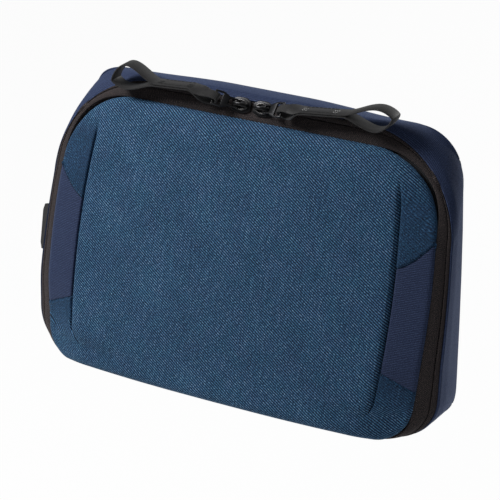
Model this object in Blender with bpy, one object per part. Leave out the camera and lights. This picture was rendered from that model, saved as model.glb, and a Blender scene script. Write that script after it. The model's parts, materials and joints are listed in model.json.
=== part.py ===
"""Cable organizer pouch: a soft clamshell case, zipped round three sides and hinged along its bottom edge.

Frame: metres, +Z up, front facing -Y, +X to the right of a viewer who looks at the front.
The origin is the middle of the standing face. Dimensions below are in millimetres.
"""

import math

import bpy
import bmesh
from mathutils import Matrix, Vector

MM = 0.001

# Driving dimensions
BODY_HEIGHT = 156.5
DEPTH_BOTTOM = 42.0
CLEARANCE = 0.3
LAYER_GAP = 0.9
FABRIC = 1.0
LINING = 0.7
FOAM = 2.6
WALL_FOAM = 1.4

# The gusset starts just behind the zip band's rear seam, its padding and lining a little further in
GUSSET_START = 1.0
RIM_START = 4.5

# Stations of the case, front to back: cover seam, rear seam of the zip band, back edge
SIDE_BOW_FRONT = 6.5
SIDE_BOW_REAR = 6.2
SIDE_BOW_BACK = 2.3
BACK_Y = 20.0
FRONT_Y_BOTTOM = BACK_Y - DEPTH_BOTTOM
FRONT_Y_TOP = 1.8
REAR_Y_BOTTOM = -12.4
REAR_Y_TOP = 6.1
FRONT_TOP = BODY_HEIGHT - 11.5
REAR_TOP = BODY_HEIGHT - 1.5

# Zip: the parting line sits this far from the rear seam towards the cover seam
PARTING = 0.35
PARTING_GAP = 1.6
TAPE = 0.8
COIL_WIDTH = 1.5
COIL_THICKNESS = 1.2
COIL_DEPTH = TAPE + CLEARANCE
SEAM_ALLOWANCE = 1.1
ZIP_END = 0.85
END_STOP_OFFSET = 1.0
END_STOP_LENGTH = 3.0

# Cover: padded twill with two curved darts and a woven patch beside each dart
SEAM_U = 0.81
CROWN_BOTTOM = 11.0
CROWN_TOP = 6.0
CROWN_POWER = 2.5
SEAM_RISE_BOTTOM = 5.4
SEAM_RISE_TOP = 2.8
ROLL_BOTTOM = 7.0
ROLL_TOP = 15.0
PATCH_TOP_AT_SEAM = 90.0
PATCH_TOP_AT_BAND = 103.5
PATCH_BOTTOM_AT_SEAM = 39.5
PATCH_BOTTOM_AT_BAND = 31.8

# Hinge axis: under the parting line, just outside the bottom face
HINGE_DROP = 0.35

# Sliders and pulls
SLIDER_LENGTH = 11.0
SLIDER_WIDTH = 8.0
SLIDER_X = 6.2
PLATE = 1.2
BRIDGE_WIDTH = 1.8
BRIDGE_RISE = 3.9
BRIDGE_THICKNESS = 0.9
PLATE_NOSE = 0.45
PLATE_HEAD = 0.7
PLATE_TAIL = 0.55
INNER_PLATE = 0.9
POST_LENGTH = 2.6
POST_WIDTH = 1.0
OVERLAP = 0.4
LINK_LIFT = 16.0
LINK_TWIST = 18.0
PULL_TWIST = 17.0
LINK_THICKNESS = 0.9
LINK_REACH = 12.6
LINK_END_WIDTH = 8.6
LINK_START = 2.0
LINK_HEIGHT = 0.2
LINK_NECK = 5.3
LINK_RIM = 0.9
LINK_EYE_END = 6.0
LINK_FLARE_END = 9.5
LINK_SLOT = 3.6
LINK_BAR = 1.2
PULL_LENGTH = 60.0
PULL_WIDTH = 9.2
PULL_NECK = 5.0
WEBBING = 1.0
TEARDROP_SKEW = 1.6
TEARDROP_BLUNT = 0.75
LOOP_SMALL = 2.6
LOOP_UP = 5.0
LOOP_DOWN = 2.6
SMALL_LOOP_END = 10.0
LARGE_LOOP_START = 36.0
FLAT_STEPS = (0.08, 0.46, 0.88)
NECK_START = 2.5
NECK_LENGTH = 7.0

# Side tab: folded webbing on the -X wall, swept back by TAB_SWEEP degrees
TAB_LOW = 50.0
TAB_HIGH = 73.0
TAB_REACH = 5.4
TAB_SPREAD = 3.0
TAB_CORNER = 1.6
TAB_BEHIND_SEAM = 1.6
TAB_SWEEP = 23.0

# Inside
LOOP_COUNT = 6
LOOP_PITCH = 26.0
LOOP_FLAT = 6.0
LOOP_HEIGHT = 7.0
ELASTIC = 1.2
ELASTIC_WIDTH = 25.0
BOARD = 1.5
BOARD_INSET = 16.0
UPPER_LOOPS_Z = 104.0
LOWER_LOOPS_Z = 64.0
POCKET_HALF = 82.0
POCKET_BOTTOM = 20.0
POCKET_TOP = 46.0
BINDING_WIDTH = 4.0

ARC_STEPS = 6
SIDE_STEPS = 5
BOTTOM_STEPS = (0.0, 0.5, ZIP_END)
TOP_STEPS = (0.66, 0.33, 0.0)
CENTRE_STEPS = 5
STRIP_STEPS = (0.35, 0.7, 0.9, 1.0)
ROWS_BELOW_PATCH = (0.0, 0.02, 0.055, 0.12)
ROWS_ABOVE_PATCH = (0.87, 0.94, 0.98, 1.0)
LAYER_ROWS = (0.0, 0.06, 0.25, 0.5, 0.75, 0.94, 1.0)
LAYER_COLUMNS = (-1.0, -0.88, -0.6, -0.3, 0.0, 0.3, 0.6, 0.88, 1.0)


def mix(a, b, t):
    return a + (b - a) * t


class Outline:
    """A rounded trapezoid with bowed sides, lying in a plane that leans in y from bottom to top."""

    def __init__(self, half_bottom, half_top, bow, z_span, radii, y_span):
        self.half_bottom = half_bottom
        self.half_top = half_top
        self.bow = bow
        self.z_bottom, self.z_top = z_span
        self.r_bottom, self.r_top = radii
        self.y_bottom, self.y_top = y_span

    def rise(self, z):
        return (z - self.z_bottom) / (self.z_top - self.z_bottom)

    def half_width(self, z):
        t = self.rise(z)
        return mix(self.half_bottom, self.half_top, t) + self.bow * 4.0 * t * (1.0 - t)

    def plane_y(self, z):
        return mix(self.y_bottom, self.y_top, self.rise(z))

    def inset(self, distance):
        """The same outline drawn a distance further in."""
        return Outline(
            self.half_bottom - distance,
            self.half_top - distance,
            self.bow,
            (self.z_bottom + distance, self.z_top - distance),
            (self.r_bottom - distance, self.r_top - distance),
            (self.plane_y(self.z_bottom + distance), self.plane_y(self.z_top - distance)),
        )

    def edge_z(self, u):
        """Lowest and highest z of the outline on the column at fraction u of the half width."""
        span = []
        ends = ((self.z_bottom, self.r_bottom, 1.0), (self.z_top, self.r_top, -1.0))
        for z_end, radius, sign in ends:
            half = self.half_width(z_end + sign * radius)
            over = max(0.0, abs(u) * half - (half - radius))
            span.append(z_end + sign * (radius - math.sqrt(max(0.0, radius**2 - over**2))))
        return span

    def half_ring(self):
        """Points from the middle of the bottom edge, round the +X side, to the middle of the top edge."""
        low = self.z_bottom + self.r_bottom
        high = self.z_top - self.r_top
        low_centre = self.half_width(low) - self.r_bottom
        high_centre = self.half_width(high) - self.r_top
        arc = [math.radians(90.0 * k / ARC_STEPS) for k in range(ARC_STEPS + 1)]
        points = [(low_centre * f, self.z_bottom) for f in BOTTOM_STEPS]
        points += [(low_centre + self.r_bottom * math.sin(a), low - self.r_bottom * math.cos(a)) for a in arc]
        heights = [mix(low, high, k / SIDE_STEPS) for k in range(1, SIDE_STEPS)]
        points += [(self.half_width(z), z) for z in heights]
        points += [(high_centre + self.r_top * math.cos(a), high + self.r_top * math.sin(a)) for a in arc]
        points += [(high_centre * f, self.z_top) for f in TOP_STEPS]
        return points

    def ring(self, y=None):
        """The whole outline as points, starting at the middle of the bottom edge towards +X."""
        half = self.half_ring()
        other = [(-x, z) for x, z in reversed(half[1:-1])]
        return [Vector((x, self.plane_y(z) if y is None else y, z)) for x, z in half + other]


FRONT_SEAM = Outline(
    half_bottom=107.3,
    half_top=104.5,
    bow=SIDE_BOW_FRONT,
    z_span=(0.0, FRONT_TOP),
    radii=(21.0, 34.0),
    y_span=(FRONT_Y_BOTTOM, FRONT_Y_TOP),
)
REAR_SEAM = Outline(
    half_bottom=118.5,
    half_top=108.3,
    bow=SIDE_BOW_REAR,
    z_span=(0.0, REAR_TOP),
    radii=(25.0, 56.0),
    y_span=(REAR_Y_BOTTOM, REAR_Y_TOP),
)
BACK_EDGE = Outline(
    half_bottom=116.5,
    half_top=108.3,
    bow=SIDE_BOW_BACK,
    z_span=(0.0, BODY_HEIGHT),
    radii=(14.0, 28.0),
    y_span=(BACK_Y, BACK_Y),
)

RING_COUNT = len(FRONT_SEAM.ring())
ZIP_FIRST = len(BOTTOM_STEPS) - 1
ZIP_LAST = RING_COUNT - ZIP_FIRST
HINGE_Y = mix(REAR_Y_BOTTOM, FRONT_Y_BOTTOM, PARTING)


# ---------------------------------------------------------------- scene helpers


def clear_scene():
    for thing in list(bpy.data.objects):
        bpy.data.objects.remove(thing, do_unlink=True)


def material(name, colour, roughness, metallic=0.0):
    found = bpy.data.materials.get(name)
    if found:
        return found
    made = bpy.data.materials.new(name)
    made.use_nodes = True
    shader = made.node_tree.nodes["Principled BSDF"]
    shader.inputs["Base Color"].default_value = (*colour, 1.0)
    shader.inputs["Roughness"].default_value = roughness
    shader.inputs["Metallic"].default_value = metallic
    made.diffuse_color = (*colour, 1.0)
    return made


def teal_twill():
    return material("teal_twill", (0.030, 0.075, 0.130), 0.85)


def navy_weave():
    return material("navy_weave", (0.022, 0.032, 0.065), 0.80)


def zip_tape_black():
    return material("zip_tape_black", (0.012, 0.010, 0.012), 0.85)


def coil_nylon():
    return material("coil_nylon", (0.010, 0.010, 0.011), 0.45)


def pull_webbing():
    return material("pull_webbing", (0.040, 0.040, 0.043), 0.70)


def painted_zinc():
    return material("painted_zinc", (0.020, 0.020, 0.021), 0.35, 0.8)


def lining_cloth():
    return material("lining_cloth", (0.090, 0.095, 0.105), 0.80)


def padding_foam():
    return material("padding_foam", (0.300, 0.300, 0.310), 0.95)


def elastic_band():
    return material("elastic_band", (0.015, 0.015, 0.017), 0.75)


def pocket_mesh():
    return material("pocket_mesh", (0.030, 0.030, 0.033), 0.80)


class Pivot:
    """An empty on a joint's axis; the pieces that move about it are its children."""

    def __init__(self, name, position, parent=None):
        self.position = Vector(position)
        self.empty = bpy.data.objects.new(name, None)
        self.empty.empty_display_size = 10.0 * MM
        bpy.context.collection.objects.link(self.empty)
        start = parent.position if parent else Vector()
        self.empty.parent = parent.empty if parent else None
        self.empty.location = (self.position - start) * MM


def add_solid(name, bm, finish, pivot=None, smooth=True):
    """Turns a closed bmesh drawn in world millimetres into one named object."""
    bmesh.ops.recalc_face_normals(bm, faces=bm.faces)
    origin = pivot.position if pivot else Vector()
    bmesh.ops.translate(bm, verts=bm.verts, vec=-origin)
    bmesh.ops.scale(bm, verts=bm.verts, vec=(MM, MM, MM))
    mesh = bpy.data.meshes.new(name)
    bm.to_mesh(mesh)
    bm.free()
    if smooth:
        mesh.shade_smooth()
        mesh.set_sharp_from_angle(angle=math.radians(35.0))
    mesh.materials.append(finish())
    thing = bpy.data.objects.new(name, mesh)
    bpy.context.collection.objects.link(thing)
    if pivot:
        thing.parent = pivot.empty
    return thing


def sweep(sections, closed):
    """A closed body through sections of equal point count; open sweeps get a cap at each end."""
    bm = bmesh.new()
    rows = [[bm.verts.new(p) for p in section] for section in sections]
    size = len(sections[0])
    spans = len(rows) if closed else len(rows) - 1
    for i in range(spans):
        here = rows[i]
        there = rows[(i + 1) % len(rows)]
        for k in range(size):
            n = (k + 1) % size
            bm.faces.new((here[k], here[n], there[n], there[k]))
    if not closed:
        bm.faces.new(rows[0])
        bm.faces.new(rows[-1])
    return bm


def prism(polygon, direction):
    """A flat polygon extruded along a direction."""
    shift = Vector(direction)
    return sweep([polygon, [p + shift for p in polygon]], closed=False)


def slab(point, columns, rows, skip=()):
    """A sheet with thickness over a grid of (u, v); point(u, v, side) gives side 0 or 1 of it.

    The rows are functions of u. Cells named in skip, as (column, row), are left out.
    """
    bm = bmesh.new()
    cells = [
        (i, j)
        for i in range(len(columns) - 1)
        for j in range(len(rows) - 1)
        if (i, j) not in skip
    ]
    corners = {(i + a, j + b) for i, j in cells for a in (0, 1) for b in (0, 1)}
    sides = []
    for side in (0, 1):
        verts = {}
        for i, j in sorted(corners):
            u = columns[i]
            verts[i, j] = bm.verts.new(point(u, rows[j](u), side))
        sides.append(verts)
    kept = set(cells)
    for i, j in cells:
        loop = [(i, j), (i + 1, j), (i + 1, j + 1), (i, j + 1)]
        bm.faces.new([sides[0][c] for c in loop])
        bm.faces.new([sides[1][c] for c in reversed(loop)])
        neighbours = ((i, j - 1), (i + 1, j), (i, j + 1), (i - 1, j))
        for k, neighbour in enumerate(neighbours):
            if neighbour not in kept:
                a, b = loop[k], loop[(k + 1) % 4]
                bm.faces.new((sides[0][a], sides[1][a], sides[1][b], sides[0][b]))
    return bm


def carve(bm, cutters):
    """Subtracts closed cutter meshes with exact Booleans and returns the result as a new bmesh."""
    body = scratch_object("carve_body", bm)
    made = []
    for cutter in cutters:
        tool = scratch_object("carve_tool", cutter)
        cut = body.modifiers.new("cut", "BOOLEAN")
        cut.operation = "DIFFERENCE"
        cut.solver = "EXACT"
        cut.object = tool
        made.append(tool)
    return evaluate_and_drop(body, made)


def unite(pieces):
    """Joins closed meshes into one body with exact Boolean unions."""
    body = scratch_object("unite_body", pieces[0])
    made = []
    for piece in pieces[1:]:
        tool = scratch_object("unite_tool", piece)
        join = body.modifiers.new("join", "BOOLEAN")
        join.operation = "UNION"
        join.solver = "EXACT"
        join.object = tool
        made.append(tool)
    return evaluate_and_drop(body, made)


def scratch_object(name, bm):
    bmesh.ops.recalc_face_normals(bm, faces=bm.faces)
    mesh = bpy.data.meshes.new(name)
    bm.to_mesh(mesh)
    bm.free()
    thing = bpy.data.objects.new(name, mesh)
    bpy.context.collection.objects.link(thing)
    return thing


def evaluate_and_drop(body, tools):
    graph = bpy.context.evaluated_depsgraph_get()
    result = bmesh.new()
    result.from_mesh(body.evaluated_get(graph).to_mesh())
    bmesh.ops.triangulate(result, faces=[f for f in result.faces if len(f.verts) > 4])
    for thing in [body, *tools]:
        mesh = thing.data
        bpy.data.objects.remove(thing, do_unlink=True)
        bpy.data.meshes.remove(mesh)
    return result


# ---------------------------------------------------------------- rear shell


def wall_loop(outline_back, outline_front, inset, start, gap):
    """Ring points on the side wall: start mm behind the front station, and on the back station less a gap."""
    back = outline_back.inset(inset).ring()
    front = outline_front.inset(inset).ring()
    near = []
    far = []
    for b, f in zip(back, front):
        run = b.y - f.y
        near.append(f.lerp(b, start / run))
        far.append(b.lerp(f, gap / run))
    return near, far


def hollow_wall(name, inset, thickness, start, gap, finish):
    outer_near, outer_far = wall_loop(BACK_EDGE, REAR_SEAM, inset, start, gap)
    inner_near, inner_far = wall_loop(BACK_EDGE, REAR_SEAM, inset + thickness, start, gap)
    sections = list(zip(outer_near, outer_far, inner_far, inner_near))
    return add_solid(name, sweep(sections, closed=True), finish)


def back_sheet(name, inset, y_front, y_back, finish):
    """A flat board parallel to the back whose edge follows the side wall."""
    loops = [wall_loop(BACK_EDGE, REAR_SEAM, inset, 0.0, BACK_Y - y)[1] for y in (y_front, y_back)]
    return add_solid(name, sweep(loops, closed=False), finish)


def rear_lining(inset, start, y_front, y_back):
    """A tray: its wall lines the gusset and its floor lines the back."""
    outer_near, outer_back = wall_loop(BACK_EDGE, REAR_SEAM, inset, start, BACK_Y - y_back)
    inner_near, inner_back = wall_loop(BACK_EDGE, REAR_SEAM, inset + LINING, start, BACK_Y - y_front)
    loops = [outer_back, outer_near, inner_near, inner_back]
    return add_solid("rear_lining", sweep(loops, closed=False), lining_cloth)


def side_tab():
    """A folded webbing loop sewn to the -X wall just behind the zip band."""
    seam_x = -REAR_SEAM.half_width(TAB_LOW) - CLEARANCE / 2.0 - WEBBING / 2.0
    seam_y = REAR_SEAM.plane_y(TAB_HIGH) + TAB_BEHIND_SEAM
    sweep_back = math.radians(TAB_SWEEP)
    out = Vector((-math.cos(sweep_back), math.sin(sweep_back), 0.0))
    aside = Vector((out.y, -out.x, 0.0))
    start = Vector((seam_x, seam_y, 0.0))
    centre = start + out * TAB_REACH + aside * TAB_SPREAD / 2.0
    path = [start]
    steps = 6
    for k in range(steps + 1):
        angle = math.pi * k / steps
        turn = out * math.sin(angle) - aside * math.cos(angle)
        path.append(centre + turn * TAB_SPREAD / 2.0)
    path.append(start + aside * TAB_SPREAD)
    polygon = thicken(path, WEBBING, Vector((0.0, 0.0, 1.0)))
    bm = prism([p + Vector((0.0, 0.0, TAB_LOW)) for p in polygon], (0.0, 0.0, TAB_HIGH - TAB_LOW))
    middle = (TAB_LOW + TAB_HIGH) / 2.0
    for vert in bm.verts:
        along = (vert.co - start).dot(out)
        if along > TAB_REACH:
            vert.co.z += TAB_CORNER if vert.co.z < middle else -TAB_CORNER
    return add_solid("side_tab", bm, pull_webbing)


def thicken(path, thickness, axis):
    """The outline polygon of a path drawn with a constant thickness in the plane across axis."""
    left = []
    right = []
    for i, point in enumerate(path):
        before = path[max(0, i - 1)]
        after = path[min(len(path) - 1, i + 1)]
        into = (point - before).normalized() if i else (after - point).normalized()
        out = (after - point).normalized() if i < len(path) - 1 else into
        normal = (into + out).normalized().cross(axis)
        stretch = 1.0 / max(0.5, math.sqrt((1.0 + into.dot(out)) / 2.0))
        left.append(point + normal * thickness / 2.0 * stretch)
        right.append(point - normal * thickness / 2.0 * stretch)
    return left + right[::-1]


# ---------------------------------------------------------------- zip


class Station:
    """One place along the zip: its parting point and the directions across, inward and along."""

    def __init__(self, index):
        front = FRONT_SEAM.ring()
        rear = REAR_SEAM.ring()
        before = rear[index - 1].lerp(front[index - 1], PARTING)
        after_index = (index + 1) % RING_COUNT
        after = rear[after_index].lerp(front[after_index], PARTING)
        self.parting = rear[index].lerp(front[index], PARTING)
        self.across = (rear[index] - front[index]).normalized()
        self.to_rear = (rear[index] - self.parting).length
        self.to_front = (front[index] - self.parting).length
        inward = self.across.cross(after - before).normalized()
        middle = Vector((0.0, 0.0, BODY_HEIGHT / 2.0))
        self.inward = inward if inward.dot(middle - self.parting) > 0.0 else -inward

    def at(self, across, inward):
        return self.parting + self.across * across + self.inward * inward


def zip_stations():
    return [Station(i) for i in range(ZIP_FIRST, ZIP_LAST + 1)]


def zip_strip(name, span, depth, finish, pivot, trim=0):
    """A strip along the zip; span(station) gives its two edges across, depth its inner and outer faces."""
    stations = zip_stations()
    if trim:
        stations = stations[trim:-trim]
    sections = []
    for s in stations:
        low, high = span(s)
        outer, inner = depth
        sections.append([s.at(low, outer), s.at(high, outer), s.at(high, inner), s.at(low, inner)])
    return add_solid(name, sweep(sections, closed=False), finish, pivot)


def zip_tapes_and_coils(cover):
    half_gap = PARTING_GAP / 2.0
    edge = half_gap + COIL_WIDTH
    tape = (0.0, TAPE)
    coil = (COIL_DEPTH, COIL_DEPTH + COIL_THICKNESS)

    def rear_tape(s):
        return half_gap, s.to_rear - SEAM_ALLOWANCE

    def front_tape(s):
        return -s.to_front + CLEARANCE, -half_gap

    zip_strip("rear_zip_tape", rear_tape, tape, zip_tape_black, None)
    zip_strip("front_zip_tape", front_tape, tape, zip_tape_black, cover)
    zip_strip("rear_zip_coil", lambda s: (half_gap, edge), coil, coil_nylon, None, trim=1)
    zip_strip("front_zip_coil", lambda s: (-edge, -half_gap), coil, coil_nylon, cover, trim=1)


def zip_end_stops():
    """A moulded stop on each end of the coils, under the bottom corners."""
    for side, name in ((1, "zip_end_stop_right"), (-1, "zip_end_stop_left")):
        index = ZIP_FIRST if side > 0 else ZIP_LAST
        s = Station(index)
        reach = PARTING_GAP / 2.0 + COIL_WIDTH
        base = [
            s.at(-reach, COIL_DEPTH),
            s.at(reach, COIL_DEPTH),
            s.at(reach, COIL_DEPTH + COIL_THICKNESS),
            s.at(-reach, COIL_DEPTH + COIL_THICKNESS),
        ]
        shift = Vector((side * END_STOP_OFFSET, 0.0, 0.0))
        bm = prism([p + shift for p in base], (side * END_STOP_LENGTH, 0.0, 0.0))
        add_solid(name, bm, painted_zinc, smooth=False)


def hinge_strip():
    """The woven strip that joins cover and shell between the two ends of the zip."""
    corners = []
    for outline, y in ((FRONT_SEAM, FRONT_Y_BOTTOM + CLEARANCE), (REAR_SEAM, REAR_Y_BOTTOM - CLEARANCE)):
        half = outline.half_ring()[ZIP_FIRST][0] - 2.0 * CLEARANCE
        corners.append((half, y))
    (front_half, front_y), (rear_half, rear_y) = corners
    polygon = [
        Vector((-front_half, front_y, 0.0)),
        Vector((front_half, front_y, 0.0)),
        Vector((rear_half, rear_y, 0.0)),
        Vector((-rear_half, rear_y, 0.0)),
    ]
    return add_solid("hinge_strip", prism(polygon, (0.0, 0.0, TAPE)), navy_weave, smooth=False)


# ---------------------------------------------------------------- cover


def rolled(distance, width):
    """Quarter-ellipse roll from 0 at the seam to 1 at a width's distance."""
    t = min(1.0, max(0.0, distance / width))
    return math.sqrt(1.0 - (1.0 - t) ** 2)


def cover_rise(u, z, z_low, z_high):
    """How far the padded cover stands forward of the cover seam's plane."""
    t = FRONT_SEAM.rise(z)
    at_seam = mix(SEAM_RISE_BOTTOM, SEAM_RISE_TOP, t)
    at_middle = mix(CROWN_BOTTOM, CROWN_TOP, t)
    if abs(u) <= SEAM_U:
        rise = at_seam + (at_middle - at_seam) * (1.0 - (abs(u) / SEAM_U) ** CROWN_POWER)
    else:
        rise = at_seam * (1.0 - abs(u)) / (1.0 - SEAM_U)
    return rise * rolled(z - z_low, ROLL_BOTTOM) * rolled(z_high - z, ROLL_TOP)


def cover_sheet(near, far):
    """A point function for a sheet that lies near..far mm behind the cover's seam plane."""

    def point(u, v, side):
        z_low, z_high = FRONT_SEAM.edge_z(u)
        z = mix(z_low, z_high, v)
        y = FRONT_SEAM.plane_y(z) - cover_rise(u, z, z_low, z_high) + (near, far)[side]
        return Vector((u * FRONT_SEAM.half_width(z), y, z))

    return point


def row_at(z_seam, z_band):
    """A grid row that crosses the dart at z_seam and reaches the zip band at z_band."""

    def row(u):
        outward = max(0.0, (abs(u) - SEAM_U) / (1.0 - SEAM_U))
        z_low, z_high = FRONT_SEAM.edge_z(u)
        z = mix(z_seam, z_band, outward)
        return (z - z_low) / (z_high - z_low)

    return row


def constant_row(v):
    return lambda u: v


def patch_row(f, margin):
    """The row at fraction f of the patch's height, the patch being smaller all round by the margin."""
    at_seam = mix(PATCH_BOTTOM_AT_SEAM + margin, PATCH_TOP_AT_SEAM - margin, f)
    at_band = mix(PATCH_BOTTOM_AT_BAND + margin, PATCH_TOP_AT_BAND - margin, f)
    return row_at(at_seam, at_band)


def cover_columns(limit):
    centre = [SEAM_U * k / CENTRE_STEPS for k in range(CENTRE_STEPS + 1)]
    strip = [mix(SEAM_U, 1.0, f) for f in STRIP_STEPS]
    half = [u for u in centre + strip if u <= limit + 1e-9]
    return [-u for u in reversed(half[1:])] + half


def cover_rows():
    """Rows from bottom to top; the patch lies between the first and last patch rows."""
    low = [constant_row(v) for v in ROWS_BELOW_PATCH]
    patch = [patch_row(f, 0.0) for f in (0.0, 0.5, 1.0)]
    high = [constant_row(v) for v in ROWS_ABOVE_PATCH]
    return low + patch + high, len(low), len(low) + len(patch) - 1


def front_panel(cover):
    columns = cover_columns(1.0)
    rows, patch_low, patch_high = cover_rows()
    skip = {
        (i, j)
        for i in range(len(columns) - 1)
        for j in range(patch_low, patch_high)
        if abs(columns[i] + columns[i + 1]) / 2.0 > SEAM_U
    }
    point = cover_sheet(-CLEARANCE - FABRIC, -CLEARANCE)
    add_solid("front_panel", slab(point, columns, rows, skip), teal_twill, cover)


def side_patches(cover):
    """The woven patches fill the notches that the cover panel leaves beside its darts."""
    margin = 2.0 * CLEARANCE
    inner = SEAM_U + margin / FRONT_SEAM.half_bottom
    point = cover_sheet(-CLEARANCE - FABRIC, -CLEARANCE)
    rows = [patch_row(f, margin) for f in (0.0, 0.25, 0.5, 0.75, 1.0)]
    steps = [inner] + [mix(SEAM_U, 1.0, f) for f in STRIP_STEPS]
    add_solid("side_patch_right", slab(point, steps, rows), navy_weave, cover)
    mirrored = [-u for u in reversed(steps)]
    add_solid("side_patch_left", slab(point, mirrored, rows), navy_weave, cover)


def cover_layer(name, near, thickness, limit, v_low, v_high, finish, cover):
    """A layer that follows the inside of the padded cover."""
    point = cover_sheet(near, near + thickness)
    rows = [constant_row(mix(v_low, v_high, f)) for f in LAYER_ROWS]
    columns = [limit * f for f in LAYER_COLUMNS]
    return add_solid(name, slab(point, columns, rows), finish, cover)


def cover_layers(cover):
    foam_near = LAYER_GAP - CLEARANCE
    lining_near = foam_near + FOAM + LAYER_GAP
    pocket_near = lining_near + LINING + LAYER_GAP
    cover_layer("front_foam", foam_near, FOAM, 0.955, 0.03, 0.965, padding_foam, cover)
    cover_layer("front_lining", lining_near, LINING, 0.965, 0.025, 0.97, lining_cloth, cover)
    cover_layer("mesh_pocket", pocket_near, LINING, 0.74, 0.10, 0.60, pocket_mesh, cover)
    cover_layer("mesh_pocket_binding", pocket_near, 2.0 * LINING, 0.74, 0.603, 0.64, elastic_band, cover)


# ---------------------------------------------------------------- inside of the rear shell


def elastic_loops(name, z_low, face_y):
    """A wide elastic stitched down at intervals, so that it stands up in a row of cable loops."""
    arch = (LOOP_PITCH - LOOP_FLAT) / 2.0
    steps = 6
    flat_y = face_y - CLEARANCE - ELASTIC / 2.0
    start = -LOOP_COUNT * LOOP_PITCH / 2.0
    path = [Vector((start - LOOP_FLAT / 2.0, flat_y, 0.0))]
    for n in range(LOOP_COUNT):
        centre = start + (n + 0.5) * LOOP_PITCH
        for k in range(steps + 1):
            angle = math.pi * k / steps
            x = centre - arch * math.cos(angle)
            path.append(Vector((x, flat_y - LOOP_HEIGHT * math.sin(angle), 0.0)))
    path.append(Vector((-start + LOOP_FLAT / 2.0, flat_y, 0.0)))
    polygon = thicken(path, ELASTIC, Vector((0.0, 0.0, 1.0)))
    polygon = [Vector((p.x, min(p.y, flat_y + ELASTIC / 2.0), z_low)) for p in polygon]
    return add_solid(name, prism(polygon, (0.0, 0.0, ELASTIC_WIDTH)), elastic_band)


def box(low, high):
    x0, y0, z0 = low
    x1, y1, z1 = high
    floor = [Vector((x0, y0, z0)), Vector((x1, y0, z0)), Vector((x1, y1, z0)), Vector((x0, y1, z0))]
    return prism(floor, (0.0, 0.0, z1 - z0))


def inside_fittings(floor_y):
    """The organizer board with two rows of cable loops above a slip pocket."""
    board_back = floor_y - CLEARANCE
    board_front = board_back - BOARD
    back_sheet("organizer_panel", BOARD_INSET, board_front, board_back, lining_cloth)
    elastic_loops("elastic_loops_upper", UPPER_LOOPS_Z, board_front)
    elastic_loops("elastic_loops_lower", LOWER_LOOPS_Z, board_front)
    front = board_front - CLEARANCE
    bm = box((-POCKET_HALF, front - LINING, POCKET_BOTTOM), (POCKET_HALF, front, POCKET_TOP))
    add_solid("slip_pocket", bm, lining_cloth, smooth=False)
    low = POCKET_TOP + CLEARANCE
    bm = box((-POCKET_HALF, front - 2.0 * LINING, low), (POCKET_HALF, front, low + BINDING_WIDTH))
    add_solid("slip_pocket_binding", bm, elastic_band, smooth=False)


# ---------------------------------------------------------------- sliders, links and pulls


class PullFrame:
    """Axes at a slider on the top run of the zip: out along the zip, across it, and away from the case."""

    def __init__(self, side):
        top = Station(RING_COUNT // 2)
        self.side = side
        self.along = Vector((side, 0.0, 0.0))
        self.across = top.across
        self.away = -top.inward
        self.origin = top.parting + self.along * SLIDER_X

    def at(self, along, across, away):
        return self.origin + self.along * along + self.across * across + self.away * away

    def block(self, along, across, away):
        base = [
            self.at(along[0], across[0], away[0]),
            self.at(along[1], across[0], away[0]),
            self.at(along[1], across[1], away[0]),
            self.at(along[0], across[1], away[0]),
        ]
        return prism(base, self.away * (away[1] - away[0]))


def slider(frame, name, pivot):
    """Body of a zip slider: outer plate, post between the coils, cover-side inner plate and bridge."""
    half_length = SLIDER_LENGTH / 2.0
    half_width = SLIDER_WIDTH / 2.0
    plate_low = CLEARANCE
    plate_high = CLEARANCE + PLATE
    inner_face = -(COIL_DEPTH + COIL_THICKNESS + CLEARANCE)
    nose = half_length * PLATE_NOSE
    side = [
        (-half_length, half_width * PLATE_TAIL),
        (-nose, half_width),
        (nose, half_width),
        (half_length, half_width * PLATE_HEAD),
    ]
    outline = side + [(a, -c) for a, c in reversed(side)]
    plate = prism([frame.at(a, c, plate_low) for a, c in outline], frame.away * PLATE)
    half_post = POST_WIDTH / 2.0
    post_span = (inner_face - OVERLAP, plate_low + OVERLAP)
    post = frame.block((-POST_LENGTH / 2.0, POST_LENGTH / 2.0), (-half_post, half_post), post_span)
    leg = half_length - 1.0
    inner_span = (inner_face - INNER_PLATE, inner_face)
    inner = frame.block((-leg, leg), (-half_width + OVERLAP, half_post), inner_span)
    rise = plate_high + BRIDGE_RISE
    half_bridge = BRIDGE_WIDTH / 2.0
    arch = frame.block((-leg, leg), (-half_bridge, half_bridge), (plate_high - OVERLAP, rise))
    space = (plate_high, rise - BRIDGE_THICKNESS)
    inside_leg = leg - BRIDGE_THICKNESS
    hole = frame.block((-inside_leg, inside_leg), (-BRIDGE_WIDTH, BRIDGE_WIDTH), space)
    bridge = carve(arch, [hole])
    add_solid(name, unite([plate, post, inner, bridge]), painted_zinc, pivot, smooth=False)


def turned(axis, degrees, centre):
    """A rotation about a line through centre."""
    turn = Matrix.Rotation(math.radians(degrees), 4, axis)
    return Matrix.Translation(centre) @ turn @ Matrix.Translation(-centre)


def link_axis(frame):
    """The link swings about the bar that lies inside the slider's bridge."""
    away = CLEARANCE + PLATE + (BRIDGE_RISE - BRIDGE_THICKNESS) / 2.0 + LINK_HEIGHT
    return frame.at(LINK_START, 0.0, away)


def link_placement(frame):
    """Lifts the link off the tape and rolls it towards the top of the case."""
    centre = link_axis(frame)
    swing = frame.across * -frame.side
    lift = turned(swing, LINK_LIFT, centre)
    roll = turned(Vector((1.0, 0.0, 0.0)), -LINK_TWIST, centre)
    return roll @ lift


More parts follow.
